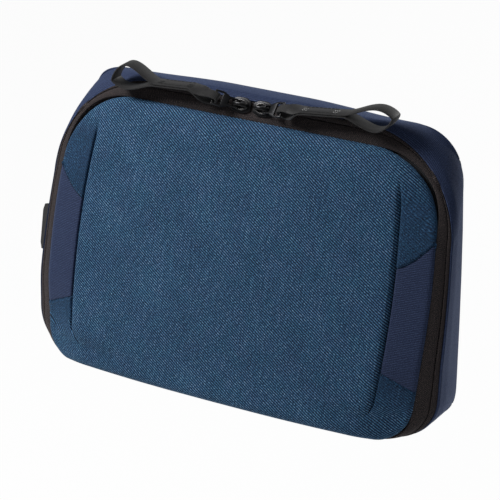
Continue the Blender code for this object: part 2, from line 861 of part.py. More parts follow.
def link(frame, name, pivot):
    """A tapered zinc link with an eye for the bridge and a slot for the webbing."""
    centre = link_axis(frame)
    away = (centre - frame.origin).dot(frame.away)
    low = away - LINK_THICKNESS / 2.0
    start = LINK_START - LINK_RIM / 2.0
    neck = LINK_NECK / 2.0
    end = LINK_END_WIDTH / 2.0
    reach = LINK_START + LINK_REACH
    side = [(start, -neck), (LINK_EYE_END, -neck), (LINK_FLARE_END, -end), (reach - 1.0, -end)]
    side += [(reach, -end + 1.0)]
    outline = side + [(a, -c) for a, c in reversed(side)]
    plate = prism([frame.at(a, c, low) for a, c in outline], frame.away * LINK_THICKNESS)
    through = (low - LINK_THICKNESS, low + 2.0 * LINK_THICKNESS)
    eye_half = neck - LINK_RIM
    eye = frame.block((start + LINK_RIM, LINK_EYE_END), (-eye_half, eye_half), through)
    slot_half = end - LINK_RIM
    slot_end = reach - LINK_BAR
    slot = frame.block((slot_end - LINK_SLOT, slot_end), (-slot_half, slot_half), through)
    bm = carve(plate, [eye, slot])
    bmesh.ops.transform(bm, matrix=link_placement(frame), verts=bm.verts)
    add_solid(name, bm, painted_zinc, pivot, smooth=False)


def pull_axis(frame):
    """The pull swings about the bar at the far end of the link."""
    away = (link_axis(frame) - frame.origin).dot(frame.away)
    return link_placement(frame) @ frame.at(LINK_START + LINK_REACH - LINK_BAR / 2.0, 0.0, away)


def loop_profile(start, end, half_height, tip):
    """Half of a teardrop from start to end, blunt at the end given by tip (-1 or 1)."""
    points = []
    steps = 9
    for k in range(1, steps):
        f = k / steps
        g = f if tip > 0 else 1.0 - f
        height = half_height * math.sin(math.pi * g**TEARDROP_SKEW) ** TEARDROP_BLUNT
        points.append((mix(start, end, f), height))
    return points


def pull(frame, name, pivot):
    """Webbing folded round the link's bar, sewn flat, and left open as a finger loop."""
    axis = pull_axis(frame)
    small = (-LOOP_SMALL, SMALL_LOOP_END)
    large = (LARGE_LOOP_START, PULL_LENGTH - 3.0 * WEBBING)
    holes = []
    loops = ((small, LOOP_SMALL, LOOP_SMALL, -1), (large, LOOP_UP, LOOP_DOWN, 1))
    for (start, end), up, down, tip in loops:
        upper = loop_profile(start, end, up, tip)
        lower = [(s, -h) for s, h in loop_profile(start, end, down, tip)]
        holes.append([(start, 0.0)] + upper + [(end, 0.0)] + lower[::-1])

    def strand(sign, large_height):
        points = [(s, sign * (h + WEBBING)) for s, h in loop_profile(*small, LOOP_SMALL, -1)]
        flat = [mix(SMALL_LOOP_END, LARGE_LOOP_START, f) for f in FLAT_STEPS]
        points += [(s, sign * WEBBING) for s in flat]
        return points + [(s, sign * (h + WEBBING)) for s, h in loop_profile(*large, large_height, 1)]

    near_end = (small[0] - WEBBING, 0.0)
    far_end = (large[1] + WEBBING, 0.0)
    outline = [near_end] + strand(1, LOOP_UP) + [far_end] + strand(-1, LOOP_DOWN)[::-1]
    across = link_placement(frame).to_3x3() @ frame.across
    turn = Matrix.Rotation(math.radians(-PULL_TWIST), 3, Vector((1.0, 0.0, 0.0)))
    across = turn @ across
    along = frame.along
    away = along.cross(across) * frame.side
    if away.z < 0.0:
        away = -away

    def place(s, h, c):
        return axis + along * s + away * h + across * c

    half = PULL_WIDTH / 2.0
    body = prism([place(s, h, -half) for s, h in outline], across * PULL_WIDTH)
    cutters = []
    for hole in holes:
        base = [place(s, h, -half - 1.0) for s, h in hole]
        cutters.append(prism(base, across * (PULL_WIDTH + 2.0)))
    bm = carve(body, cutters)
    for vert in bm.verts:
        s = (vert.co - axis).dot(along)
        widening = min(1.0, max(0.0, (s - NECK_START) / NECK_LENGTH))
        narrow = mix(PULL_NECK / PULL_WIDTH, 1.0, widening)
        c = (vert.co - axis).dot(across)
        vert.co += across * c * (narrow - 1.0)
    add_solid(name, bm, pull_webbing, pivot)


def sliders_and_pulls(cover):
    for side, word in ((-1, "left"), (1, "right")):
        frame = PullFrame(side)
        slide = Pivot(f"slider_{word}_travel", frame.origin, cover)
        slider(frame, f"slider_{word}", slide)
        swing = Pivot(f"link_{word}_swing", link_axis(frame), slide)
        link(frame, f"link_{word}", swing)
        bend = Pivot(f"pull_{word}_swing", pull_axis(frame), swing)
        pull(frame, f"pull_{word}", bend)


# ---------------------------------------------------------------- assembly


def rear_shell():
    """Navy gusset and back, their padding and lining, and the tab on the left wall."""
    back_sheet("rear_panel", 0.0, BACK_Y - FABRIC, BACK_Y, navy_weave)
    hollow_wall("rear_gusset", 0.0, FABRIC, GUSSET_START, FABRIC + CLEARANCE, navy_weave)
    foam_back = BACK_Y - FABRIC - CLEARANCE
    foam_inset = FABRIC + LAYER_GAP
    back_sheet("rear_foam", foam_inset, foam_back - FOAM, foam_back, padding_foam)
    gap = FABRIC + FOAM + 3.0 * CLEARANCE
    hollow_wall("gusset_foam", foam_inset, WALL_FOAM, RIM_START, gap, padding_foam)
    floor_back = foam_back - FOAM - CLEARANCE
    floor_front = floor_back - LINING
    rear_lining(foam_inset + WALL_FOAM + LAYER_GAP, RIM_START, floor_front, floor_back)
    side_tab()
    hinge_strip()
    inside_fittings(floor_front)


def front_cover():
    cover = Pivot("cover_hinge", (0.0, HINGE_Y, -HINGE_DROP))
    front_panel(cover)
    side_patches(cover)
    cover_layers(cover)
    return cover


def main():
    clear_scene()
    rear_shell()
    cover = front_cover()
    zip_tapes_and_coils(cover)
    zip_end_stops()
    sliders_and_pulls(cover)


main()
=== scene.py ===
"""Cable organizer pouch: fabric, padding, zip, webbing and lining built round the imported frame.

Lengths are in millimetres unless a name says otherwise, and turn into metres when a mesh is made.
+Z is up, the front faces -Y, and +X is to the right of a viewer who looks at the front.
"""

import json
import math

import bmesh
import bpy
import numpy as np
from mathutils import Matrix, Vector


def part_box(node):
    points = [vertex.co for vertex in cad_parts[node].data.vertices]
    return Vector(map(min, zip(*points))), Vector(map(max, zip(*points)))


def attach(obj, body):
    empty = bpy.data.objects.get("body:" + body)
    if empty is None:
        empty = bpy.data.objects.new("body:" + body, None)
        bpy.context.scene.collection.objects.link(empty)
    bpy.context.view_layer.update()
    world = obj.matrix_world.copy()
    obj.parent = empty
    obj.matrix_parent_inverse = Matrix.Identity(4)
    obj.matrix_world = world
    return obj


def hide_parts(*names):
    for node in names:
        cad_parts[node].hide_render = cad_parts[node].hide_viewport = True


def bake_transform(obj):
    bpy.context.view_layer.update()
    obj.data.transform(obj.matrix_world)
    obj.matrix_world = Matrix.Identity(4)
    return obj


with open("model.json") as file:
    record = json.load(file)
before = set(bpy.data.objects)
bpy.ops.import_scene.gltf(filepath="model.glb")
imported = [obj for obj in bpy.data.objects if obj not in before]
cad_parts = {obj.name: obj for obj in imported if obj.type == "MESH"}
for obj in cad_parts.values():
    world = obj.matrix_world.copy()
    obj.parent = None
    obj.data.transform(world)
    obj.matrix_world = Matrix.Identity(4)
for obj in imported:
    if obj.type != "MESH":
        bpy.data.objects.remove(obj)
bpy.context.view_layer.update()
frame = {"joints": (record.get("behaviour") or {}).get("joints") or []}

MM = 0.001


def joint_place(name):
    """A joint's point, in millimetres, as the frame holds it."""
    joint = next(j for j in frame["joints"] if j["name"] == name)
    return np.array(joint["pos_m"]) / MM


def node_low(node):
    return np.array(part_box(node)[0]) / MM


def node_high(node):
    return np.array(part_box(node)[1]) / MM


# ---------------------------------------------------------------- sizes read from the frame

BODY_HEIGHT = node_high("rear_panel")[2]
BACK_Y = node_high("rear_panel")[1]
HINGE = joint_place("cover_hinge")
COVER_TOP = BODY_HEIGHT - 11.5
SHELL_TOP = BODY_HEIGHT - 1.5

# The three stations of the case, as in the frame: cover seam, rear seam of the zip band, back edge
FABRIC = 1.0
TAPE = 0.8
PARTING = 0.35
PARTING_GAP = 0.4
TAPE_COVERED = 1.0
COVER_LIFT = 1.3
SHELL_LIFT = 1.0

# Cover: padded twill with two curved darts, whose padding hangs over the seam below
OVERHANG = 1.2
DART_U = 0.826
CROWN_BOTTOM = 11.0
CROWN_TOP = 6.0
DART_RISE_BOTTOM = 5.4
DART_RISE_TOP = 2.8
ROLL_BOTTOM = 7.0
ROLL_TOP = 15.0
DART_LOW = 11.5
DART_HIGH = 130.0
DART_CURL_LEFT = 8.0
DART_CURL_RIGHT = 3.0
DART_CURL_HEIGHT = 9.0

PATCH_TOP_AT_DART = 89.0
PATCH_TOP_AT_BAND = 104.0
PATCH_BOTTOM_AT_DART = 37.0
PATCH_BOTTOM_AT_BAND = 27.8

# How far the back's top edge sinks towards its shoulders
SAG = 2.5

# The back's left shoulder: how far its corner stands out, how far the side below it stands in, and where
SHOULDER_OUT = 1.9
SHOULDER_IN = 2.6
SHOULDER_CORNER = (-98.0, 151.0)
SHOULDER_REACH = 17.0

# How far the soft case leans towards +X, from its foot to its top and from its front to its back
LEAN = 2.0
SKEW = 1.8

# Points per stretch of a ring: half bottom to the zip's end, to the corner, corner, side, shoulder, half top
RING_STEPS = (22, 6, 18, 44, 26, 26)
ZIP_END = 0.85


def mix(a, b, t):
    return a + (b - a) * t


def clamp(t):
    return np.clip(t, 0.0, 1.0)


def smooth(t):
    t = clamp(t)
    return t * t * (3.0 - 2.0 * t)


class Outline:
    """A rounded trapezoid with bowed sides, in a surface that leans back upwards and sweeps back at its corners."""

    def __init__(self, half_bottom, half_top, bow, z_span, radii, y_span, hollow=0.0, sweep=(0.0, 0.0)):
        self.half_bottom = half_bottom
        self.half_top = half_top
        self.bow = bow
        self.z_bottom, self.z_top = z_span
        self.r_bottom, self.r_top = radii
        self.y_bottom, self.y_top = y_span
        self.hollow = hollow
        self.sweep = sweep

    def rise(self, z):
        return (z - self.z_bottom) / (self.z_top - self.z_bottom)

    def half_width(self, z):
        t = self.rise(z)
        return mix(self.half_bottom, self.half_top, t) + self.bow * 4.0 * t * (1.0 - t)

    def plane_y(self, z):
        t = self.rise(z)
        return mix(self.y_bottom, self.y_top, t) - self.hollow * 4.0 * t * (1.0 - t)

    def seam_y(self, x, z):
        """y of the seam's surface, with its corners swept back by sweep millimetres below and above."""
        low = smooth((46.0 - z) / 32.0)
        high = smooth((z - 98.0) / 36.0)
        return self.plane_y(z) + smooth((np.abs(x) - 80.0) / 30.0) * (self.sweep[0] * low + self.sweep[1] * high)

    def inset(self, distance):
        return Outline(
            self.half_bottom - distance,
            self.half_top - distance,
            self.bow,
            (self.z_bottom + distance, self.z_top - distance),
            (max(2.0, self.r_bottom - distance), max(2.0, self.r_top - distance)),
            (self.plane_y(self.z_bottom + distance), self.plane_y(self.z_top - distance)),
            self.hollow,
            self.sweep,
        )

    def edge_z(self, u):
        """Lowest and highest z of the outline on the column at fraction u of the half width."""
        span = []
        ends = ((self.z_bottom, self.r_bottom, 1.0), (self.z_top, self.r_top, -1.0))
        for z_end, radius, sign in ends:
            half = self.half_width(z_end + sign * radius)
            over = np.maximum(0.0, np.abs(u) * half - (half - radius))
            span.append(z_end + sign * (radius - np.sqrt(np.maximum(0.0, radius**2 - over**2))))
        return span

    def ring(self):
        """The closed outline from the middle of the bottom edge towards +X, as an (n, 3) array."""
        low = self.z_bottom + self.r_bottom
        high = self.z_top - self.r_top
        low_centre = self.half_width(low) - self.r_bottom
        high_centre = self.half_width(high) - self.r_top
        to_zip, to_corner, corner, side, shoulder, top = RING_STEPS
        points = [(low_centre * ZIP_END * k / to_zip, self.z_bottom) for k in range(to_zip)]
        points += [(low_centre * mix(ZIP_END, 1.0, k / to_corner), self.z_bottom) for k in range(to_corner)]
        for k in range(corner):
            a = math.pi / 2.0 * k / corner
            points.append((low_centre + self.r_bottom * math.sin(a), low - self.r_bottom * math.cos(a)))
        for k in range(side):
            z = mix(low, high, k / side)
            points.append((self.half_width(z), z))
        for k in range(shoulder):
            a = math.pi / 2.0 * k / shoulder
            points.append((high_centre + self.r_top * math.cos(a), high + self.r_top * math.sin(a)))
        points += [(high_centre * (1.0 - k / top), self.z_top) for k in range(top + 1)]
        points += [(-x, z) for x, z in reversed(points[1:-1])]
        x, z = np.array(points).T
        return np.column_stack([x, self.seam_y(x, z), z])


COVER_SEAM = Outline(106.8, 104.0, 6.4, (0.0, COVER_TOP), (15.0, 35.5), (BACK_Y - 41.4, 1.8), 0.0, (3.4, 2.4))
SHELL_SEAM = Outline(119.2, 108.8, 5.0, (0.0, SHELL_TOP), (22.0, 57.0), (-13.6, 6.1), 0.0, (3.4, 0.0))
BACK_EDGE = Outline(115.0, 106.2, 1.2, (0.0, BODY_HEIGHT), (17.0, 23.0), (BACK_Y, BACK_Y))


def sunk(points):
    """Points of the back, whose top edge sinks towards its shoulders and whose foot stands flat."""
    x, z = points[..., 0], points[..., 2]
    low = SAG * smooth((np.abs(x) - 22.0) / 60.0) * smooth((z - 115.0) / 40.0)
    standing = SHELL_LIFT * smooth((20.0 - z) / 20.0)
    corner_x, corner_z = SHOULDER_CORNER
    out = SHOULDER_OUT * smooth(1.0 - np.hypot(x - corner_x, z - corner_z) / SHOULDER_REACH)
    below = np.exp(-((((z - corner_z) / SHOULDER_REACH + 1.0) / 0.75) ** 2))
    inward = SHOULDER_IN * smooth((-x - 55.0) / 50.0) * below
    return np.stack([x + inward - out, points[..., 1], z - low + standing + 0.35 * out], axis=-1)


def leaned(points):
    """Points of the case, shifted sideways with their height and their depth."""
    points = np.array(points, dtype=float)
    points[..., 0] += LEAN * (clamp(points[..., 2] / BODY_HEIGHT) - 0.45)
    points[..., 0] += SKEW * smooth((points[..., 1] + 6.0) / (BACK_Y + 6.0))
    return points


COVER_RING = COVER_SEAM.ring()
SHELL_RING = SHELL_SEAM.ring()
BACK_RING = sunk(BACK_EDGE.ring())
ZIP_FIRST = RING_STEPS[0]
ZIP_LAST = len(SHELL_RING) - RING_STEPS[0]
CASE_MIDDLE = np.array([0.0, 0.0, BODY_HEIGHT / 2.0])


# ---------------------------------------------------------------- mesh helpers


def unit(v):
    length = np.linalg.norm(v, axis=-1, keepdims=True)
    return v / np.maximum(length, 1e-9)


def along_ring(ring, closed=True):
    """Unit direction along a ring at each of its points."""
    if closed:
        return unit(np.roll(ring, -1, axis=0) - np.roll(ring, 1, axis=0))
    return unit(np.gradient(ring, axis=0))


def arc_length(points):
    steps = np.linalg.norm(np.diff(points, axis=0), axis=1)
    return np.concatenate([[0.0], np.cumsum(steps)])


def rumple(points, scale, seed):
    """A smooth, repeatable bumpiness in -1..1 for cloth that isn't quite flat, from a few sine waves."""
    rng = np.random.default_rng(seed)
    total = np.zeros(points.shape[:-1])
    waves = 7
    for _ in range(waves):
        direction = unit(rng.normal(size=3))
        frequency = rng.uniform(0.6, 1.7) * 2.0 * math.pi / scale
        total += np.sin(points @ direction * frequency + rng.uniform(0.0, 2.0 * math.pi))
    return total / waves


def grid_normals(grid, wrap):
    """Unit normals of a grid of points; wrap says that the second axis closes on itself."""
    down = np.gradient(grid, axis=0)
    if wrap:
        across = np.roll(grid, -1, axis=1) - np.roll(grid, 1, axis=1)
    else:
        across = np.gradient(grid, axis=1)
    return unit(np.cross(across, down))


def link_object(name, mesh):
    thing = bpy.data.objects.new(name, mesh)
    bpy.context.scene.collection.objects.link(thing)
    return thing


def finish_piece(thing, slot, body, replaces=()):
    """Gives a piece its finish, the CAD nodes it stands for and the body it rides on."""
    thing.data.materials.clear()
    thing.data.materials.append(finish_of(slot))
    if isinstance(body, str):
        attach(thing, body)
    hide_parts(*replaces)
    return thing


def mesh_piece(name, verts, faces, slot, body, replaces=(), uv=None, sharp=40.0):
    """One named piece from points in millimetres; uv holds one millimetre pair for each corner of each face."""
    mesh = bpy.data.meshes.new(name)
    if body in ("rear_shell", "front_cover", None):
        verts = leaned(verts)
    mesh.from_pydata((np.asarray(verts) * MM).tolist(), [], faces)
    if uv is not None:
        layer = mesh.uv_layers.new(name="UVMap")
        layer.data.foreach_set("uv", (np.asarray(uv, dtype=float) * MM).ravel())
    bm = bmesh.new()
    bm.from_mesh(mesh)
    bmesh.ops.recalc_face_normals(bm, faces=bm.faces)
    bm.to_mesh(mesh)
    bm.free()
    mesh.shade_smooth()
    mesh.set_sharp_from_angle(angle=math.radians(sharp))
    return finish_piece(link_object(name, mesh), slot, body, replaces)


def sheet_data(outer, inner, coords, wrap=False):
    """Points, faces and corner coordinates of a closed body between two grids of equal shape."""
    rows, columns = outer.shape[:2]
    verts = np.concatenate([outer.reshape(-1, 3), inner.reshape(-1, 3)])
    index = np.arange(rows * columns).reshape(rows, columns)
    place = coords
    if wrap:
        index = np.column_stack([index, index[:, 0]])
        step = coords[:, -1:] * 2.0 - coords[:, -2:-1]
        place = np.concatenate([coords, step], axis=1)
    shift = rows * columns
    faces = []
    uv = []

    def add(corners, spots):
        faces.append(corners)
        uv.extend(spots)

    for i in range(rows - 1):
        for j in range(index.shape[1] - 1):
            cells = ((i, j), (i, j + 1), (i + 1, j + 1), (i + 1, j))
            ids = [int(index[c]) for c in cells]
            spots = [place[c] for c in cells]
            add(ids, spots)
            add([k + shift for k in reversed(ids)], spots[::-1])
    rim = [((i, j), (i, j + 1)) for i in (0, rows - 1) for j in range(index.shape[1] - 1)]
    if not wrap:
        rim += [((i, j), (i + 1, j)) for j in (0, columns - 1) for i in range(rows - 1)]
    for a, b in rim:
        ids = [int(index[a]), int(index[b])]
        add([ids[0], ids[1], ids[1] + shift, ids[0] + shift], [place[a], place[b], place[b], place[a]])
    return verts, faces, uv


def sheet_piece(name, outer, thickness, coords, slot, body, replaces=(), wrap=False, flip=1.0):
    """A fabric sheet: the grid is its outer face, and its inner face lies a thickness behind it."""
    inner = outer - grid_normals(outer, wrap) * thickness * flip
    verts, faces, uv = sheet_data(outer, inner, coords, wrap)
    return mesh_piece(name, verts, faces, slot, body, replaces, uv)


def strip_piece(name, sections, coords, slot, body, replaces=(), closed=False):
    """A solid swept through sections of equal point count, capped at its ends unless it is closed."""
    rows, size = sections.shape[:2]
    verts = sections.reshape(-1, 3)
    faces = []
    uv = []
    for i in range(rows if closed else rows - 1):
        n = (i + 1) % rows
        for k in range(size):
            m = (k + 1) % size
            faces.append([i * size + k, i * size + m, n * size + m, n * size + k])
            uv.extend([coords(i, k), coords(i, k + 1), coords(i + 1, k + 1), coords(i + 1, k)])
    if not closed:
        for i in (0, rows - 1):
            faces.append([i * size + k for k in range(size)])
            uv.extend([coords(i, k) for k in range(size)])
    return mesh_piece(name, verts, faces, slot, body, replaces, uv)


def ribbon_section(width, thickness):
    """A flat oval section as pairs (across, out), counted round from one edge."""
    half = width / 2.0
    edge = thickness / 2.0
    side = [(-half, -edge * 0.45), (-half + edge, -edge), (0.0, -edge), (half - edge, -edge), (half, -edge * 0.45)]
    return np.array(side + [(-a, -o) for a, o in side])


def ribbon_piece(name, path, across, width, thickness, slot, body, replaces=(), closed=False, widths=None):
    """Webbing swept along a path; across gives its width direction at each point."""
    path = np.asarray(path, dtype=float)
    tangent = along_ring(path, closed)
    across = unit(across - tangent * np.sum(across * tangent, axis=1, keepdims=True))
    out = np.cross(tangent, across)
    section = ribbon_section(width, thickness)
    scale = np.ones(len(path)) if widths is None else widths
    sections = (
        path[:, None]
        + across[:, None] * (section[None, :, :1] * scale[:, None, None])
        + out[:, None] * section[None, :, 1:]
    )
    distance = arc_length(np.vstack([path, path[:1]]))
    around = arc_length(np.column_stack([np.vstack([section, section[:1]]), np.zeros(len(section) + 1)]))
    return strip_piece(name, sections, lambda i, k: (distance[i], around[k]), slot, body, replaces, closed)


def tube_data(path, radius, sides, closed=False):
    """Points and faces of a round thread along a path."""
    path = np.asarray(path, dtype=float)
    tangent = along_ring(path, closed)
    helper = np.where(np.abs(tangent[:, 2:]) < 0.9, [[0.0, 0.0, 1.0]], [[0.0, 1.0, 0.0]])
    first = unit(np.cross(tangent, helper))
    second = np.cross(tangent, first)
    turn = np.arange(sides) * 2.0 * math.pi / sides
    ring = np.cos(turn)[None, :, None] * first[:, None] + np.sin(turn)[None, :, None] * second[:, None]
    verts = (path[:, None] + ring * radius).reshape(-1, 3)
    faces = []
    for i in range(len(path) if closed else len(path) - 1):
        n = (i + 1) % len(path)
        for k in range(sides):
            m = (k + 1) % sides
            faces.append([i * sides + k, i * sides + m, n * sides + m, n * sides + k])
    if not closed:
        faces.append(list(range(sides)))
        faces.append([(len(path) - 1) * sides + k for k in range(sides)])
    return verts, faces


def joined(parts):
    """Several (points, faces) bodies as one list of each."""
    verts = []
    faces = []
    start = 0
    for points, polygons in parts:
        verts.append(points)
        faces += [[k + start for k in polygon] for polygon in polygons]
        start += len(points)
    return np.concatenate(verts), faces


def stitch_data(path, normals, length, gap, radius):
    """Short sunken threads laid along a path: each rises from the cloth, runs flat and dives again."""
    distance = arc_length(path)
    parts = []
    lift = np.array([-0.5, 0.35, 0.5, 0.35, -0.5]) * radius
    spots = np.array([0.0, 0.16, 0.5, 0.84, 1.0])
    count = int(distance[-1] / (length + gap))
    for n in range(count):
        at = (n + 0.5 * gap / (length + gap)) * (length + gap) + spots * length
        points = np.column_stack([np.interp(at, distance, path[:, k]) for k in range(3)])
        up = unit(np.column_stack([np.interp(at, distance, normals[:, k]) for k in range(3)]))
        parts.append(tube_data(points + up * lift[:, None], radius, 5))
    return parts


# ---------------------------------------------------------------- materials


class Cloth:
    """A Principled material and short calls that add the nodes of its pattern."""

    def __init__(self, name):
        self.material = bpy.data.materials.new(name)
        self.material.use_nodes = True
        self.tree = self.material.node_tree
        self.shader = self.tree.nodes["Principled BSDF"]
        self.coordinates = self.tree.nodes.new("ShaderNodeTexCoord")

    def link(self, value, socket):
        if isinstance(value, (int, float)):
            socket.default_value = value
        elif isinstance(value, tuple):
            socket.default_value = value if len(value) == len(socket.default_value) else (*value, 1.0)
        else:
            self.tree.links.new(value, socket)

    def node(self, kind, output=0, inputs=None, **settings):
        made = self.tree.nodes.new(kind)
        for key, value in settings.items():
            setattr(made, key, value)
        for key, value in (inputs or {}).items():
            self.link(value, made.inputs[key])
        return made.outputs[output]

    def maths(self, operation, a, b=0.0, c=0.0):
        return self.node("ShaderNodeMath", inputs={0: a, 1: b, 2: c}, operation=operation)

    def add(self, *values):
        total = values[0]
        for value in values[1:]:
            total = self.maths("ADD", total, value)
        return total

    def times(self, a, b):
        return self.maths("MULTIPLY", a, b)

    def wave(self, distance, pitch, shift=0.0):
        """A sine from 0 to 1 whose period along a distance, in metres, is pitch millimetres."""
        angle = self.maths("MULTIPLY_ADD", distance, 2.0 * math.pi / (pitch * MM), shift)
        return self.maths("MULTIPLY_ADD", self.maths("SINE", angle), 0.5, 0.5)

    def step(self, distance, low, high):
        """Soft step from 0 to 1 while a distance, in metres, passes from low to high millimetres."""
        limits = {0: distance, 1: low * MM, 2: high * MM, 3: 0.0, 4: 1.0}
        return self.node("ShaderNodeMapRange", inputs=limits, interpolation_type="SMOOTHSTEP")

    def plane(self, source="UV"):
        """The two flat coordinates of the cloth, in metres."""
        parts = self.tree.nodes.new("ShaderNodeSeparateXYZ")
        self.link(self.coordinates.outputs[source], parts.inputs[0])
        return parts.outputs

    def turned(self, a, b, degrees):
        """Coordinate measured across lines that fall to the right at an angle, and the one along them."""
        s = math.sin(math.radians(degrees))
        c = math.cos(math.radians(degrees))
        return self.add(self.times(a, s), self.times(b, c)), self.add(self.times(a, c), self.times(b, -s))

    def noise(self, a, b, size_a, size_b, detail=1.0, third=0.0):
        """Noise whose grains measure about size_a by size_b millimetres."""
        spot = self.node(
            "ShaderNodeCombineXYZ",
            inputs={0: self.times(a, 1.0 / (size_a * MM)), 1: self.times(b, 1.0 / (size_b * MM)), 2: third},
        )
        return self.node("ShaderNodeTexNoise", inputs={"Vector": spot, "Scale": 1.0, "Detail": detail})

    def solid_noise(self, size, detail=2.0):
        place = self.coordinates.outputs["Object"]
        scale = 1.0 / (size * MM)
        return self.node("ShaderNodeTexNoise", inputs={"Vector": place, "Scale": scale, "Detail": detail})

    def ramp(self, value, *stops):
        """A colour ramp through (position, colour) stops."""
        made = self.tree.nodes.new("ShaderNodeValToRGB")
        elements = made.color_ramp.elements
        while len(elements) < len(stops):
            elements.new(0.5)
        for element, (position, colour) in zip(elements, stops):
            element.position = position
            element.color = (*colour, 1.0)
        self.link(value, made.inputs[0])
        return made.outputs[0]

    def blend(self, factor, a, b, kind="MIX"):
        made = self.tree.nodes.new("ShaderNodeMix")
        made.data_type = "RGBA"
        made.blend_type = kind
        self.link(factor, made.inputs[0])
        self.link(a, made.inputs[6])
        self.link(b, made.inputs[7])
        return made.outputs[2]

    def bump(self, height, depth, strength=0.6):
        """Bump from a height in 0..1 that stands for depth millimetres."""
        normal = self.node("ShaderNodeBump", inputs={"Strength": strength, "Distance": depth * MM, "Height": height})
        self.link(normal, self.shader.inputs["Normal"])

    def surface(self, colour, roughness, sheen=0.0, tint=(1.0, 1.0, 1.0), metallic=0.0, specular=0.5):
        wanted = {
            "Base Color": colour,
            "Roughness": roughness,
            "Sheen Weight": sheen,
            "Sheen Roughness": 0.45,
            "Sheen Tint": tint,
            "Metallic": metallic,
            "Specular IOR Level": specular,
        }
        for key, value in wanted.items():
            self.link(value, self.shader.inputs[key])
        return self.material


def grey(level):
    return (level, level, level)


def srgb(red, green, blue):
    """Linear colour from the usual 0..255 levels."""
    levels = [c / 255.0 for c in (red, green, blue)]
    return tuple(c / 12.92 if c <= 0.04045 else ((c + 0.055) / 1.055) ** 2.4 for c in levels)


TWILL_ANGLE = 34.0
TWILL_PITCH = 1.2


def painted_shade_and_weave_strips(cloth):
    """1 on the strips outside the darts and 0 on the padded middle; it masks the painted shade of the strips and their
    calmer weave.
    """
    x, _, z = cloth.plane("Object")
    rise = cloth.times(z, 1.0 / ((COVER_SEAM.z_top - COVER_SEAM.z_bottom) * MM))
    taper = cloth.times(rise, (COVER_SEAM.half_top - COVER_SEAM.half_bottom) * MM)
    arch = cloth.times(rise, cloth.maths("SUBTRACT", 1.0, rise))
    half = cloth.add(taper, cloth.times(arch, 4.0 * COVER_SEAM.bow * MM), COVER_SEAM.half_bottom * MM)
    upright = cloth.add(x, cloth.times(z, -LEAN / BODY_HEIGHT), 0.45 * LEAN * MM)
    beyond = cloth.add(cloth.maths("ABSOLUTE", upright), cloth.times(half, -DART_U))
    above = cloth.step(z, 12.0, 32.0)
    below = cloth.maths("SUBTRACT", 1.0, cloth.step(z, 118.0, 134.0))
    return cloth.times(cloth.step(beyond, -0.6, 0.8), cloth.times(above, below))


def teal_twill():
    """Melange twill: pale flecks strung on falling diagonals over a dark ground, with painted shade on the strips
    outside the darts.
    """
    cloth = Cloth("teal_twill")
    x, z, _ = cloth.plane()
    wander = cloth.times(cloth.add(cloth.noise(x, z, 9.0, 9.0), -0.5), 0.5 * MM)
    across, along = cloth.turned(x, z, TWILL_ANGLE)
    line = cloth.wave(cloth.add(across, wander), TWILL_PITCH)
    fleck = cloth.noise(across, along, 0.45, 1.0, detail=1.0)
    streak = cloth.noise(x, z, 0.8, 14.0)
    patchy = cloth.noise(x, z, 26.0, 26.0, third=4.0)
    shade_and_weave_mask = painted_shade_and_weave_strips(cloth)
    ribbed = cloth.maths("MULTIPLY_ADD", shade_and_weave_mask, -0.42, 0.6)
    level_line = cloth.times(shade_and_weave_mask, 0.21)
    lit = cloth.add(cloth.times(line, ribbed), level_line, cloth.times(fleck, 0.9), cloth.times(streak, 0.2))
    level = cloth.add(lit, cloth.times(patchy, 0.12), -0.605)
    colour = cloth.ramp(
        level,
        (0.10, srgb(7, 22, 44)),
        (0.40, srgb(32, 68, 100)),
        (0.62, srgb(72, 115, 153)),
        (0.86, srgb(148, 183, 212)),
    )
    dyed = cloth.ramp(cloth.noise(x, z, 10.0, 10.0, detail=2.0, third=9.0), (0.35, (0.86, 1.0, 0.98)), (0.65, (1.06, 0.99, 1.01)))
    colour = cloth.blend(1.0, colour, dyed, "MULTIPLY")
    # Painted shade: the strips outside the darts are multiplied darker, standing in for the light that they turn away
    # from.
    colour = cloth.blend(shade_and_weave_mask, colour, (0.68, 0.74, 0.78), "MULTIPLY")
    cloth.bump(cloth.add(cloth.times(line, 0.6), cloth.times(fleck, 0.4)), 0.22)
    return cloth.surface(colour, 0.82, sheen=0.22, tint=srgb(150, 185, 215), specular=0.25)


def weave(cloth, x, z, pitch):
    """Over-and-under threads: the height of a plain weave."""
    first = cloth.wave(x, pitch)
    second = cloth.wave(z, pitch)
    swap = cloth.maths("GREATER_THAN", cloth.times(cloth.add(first, -0.5), cloth.add(second, -0.5)), 0.0)
    return cloth.add(cloth.times(first, swap), cloth.times(second, cloth.maths("SUBTRACT", 1.0, swap)))


def navy_weave():
    """Plain-woven polyester with a faint rib."""
    cloth = Cloth("navy_weave")
    x, z, _ = cloth.plane()
    threads = weave(cloth, x, z, 0.9)
    rib = cloth.wave(z, 0.9)
    grain = cloth.noise(x, z, 0.5, 0.5)
    slub = cloth.noise(x, z, 12.0, 0.7)
    lit = cloth.add(cloth.times(threads, 0.34), cloth.times(grain, 0.7), cloth.times(slub, 0.12), -0.08)
    colour = cloth.ramp(lit, (0.22, srgb(11, 19, 42)), (0.52, srgb(31, 43, 73)), (0.82, srgb(68, 83, 118)))
    cloth.bump(cloth.add(cloth.times(threads, 0.6), cloth.times(rib, 0.4)), 0.16, 0.5)
    return cloth.surface(colour, 0.78, sheen=0.35, tint=srgb(150, 165, 200), specular=0.25)


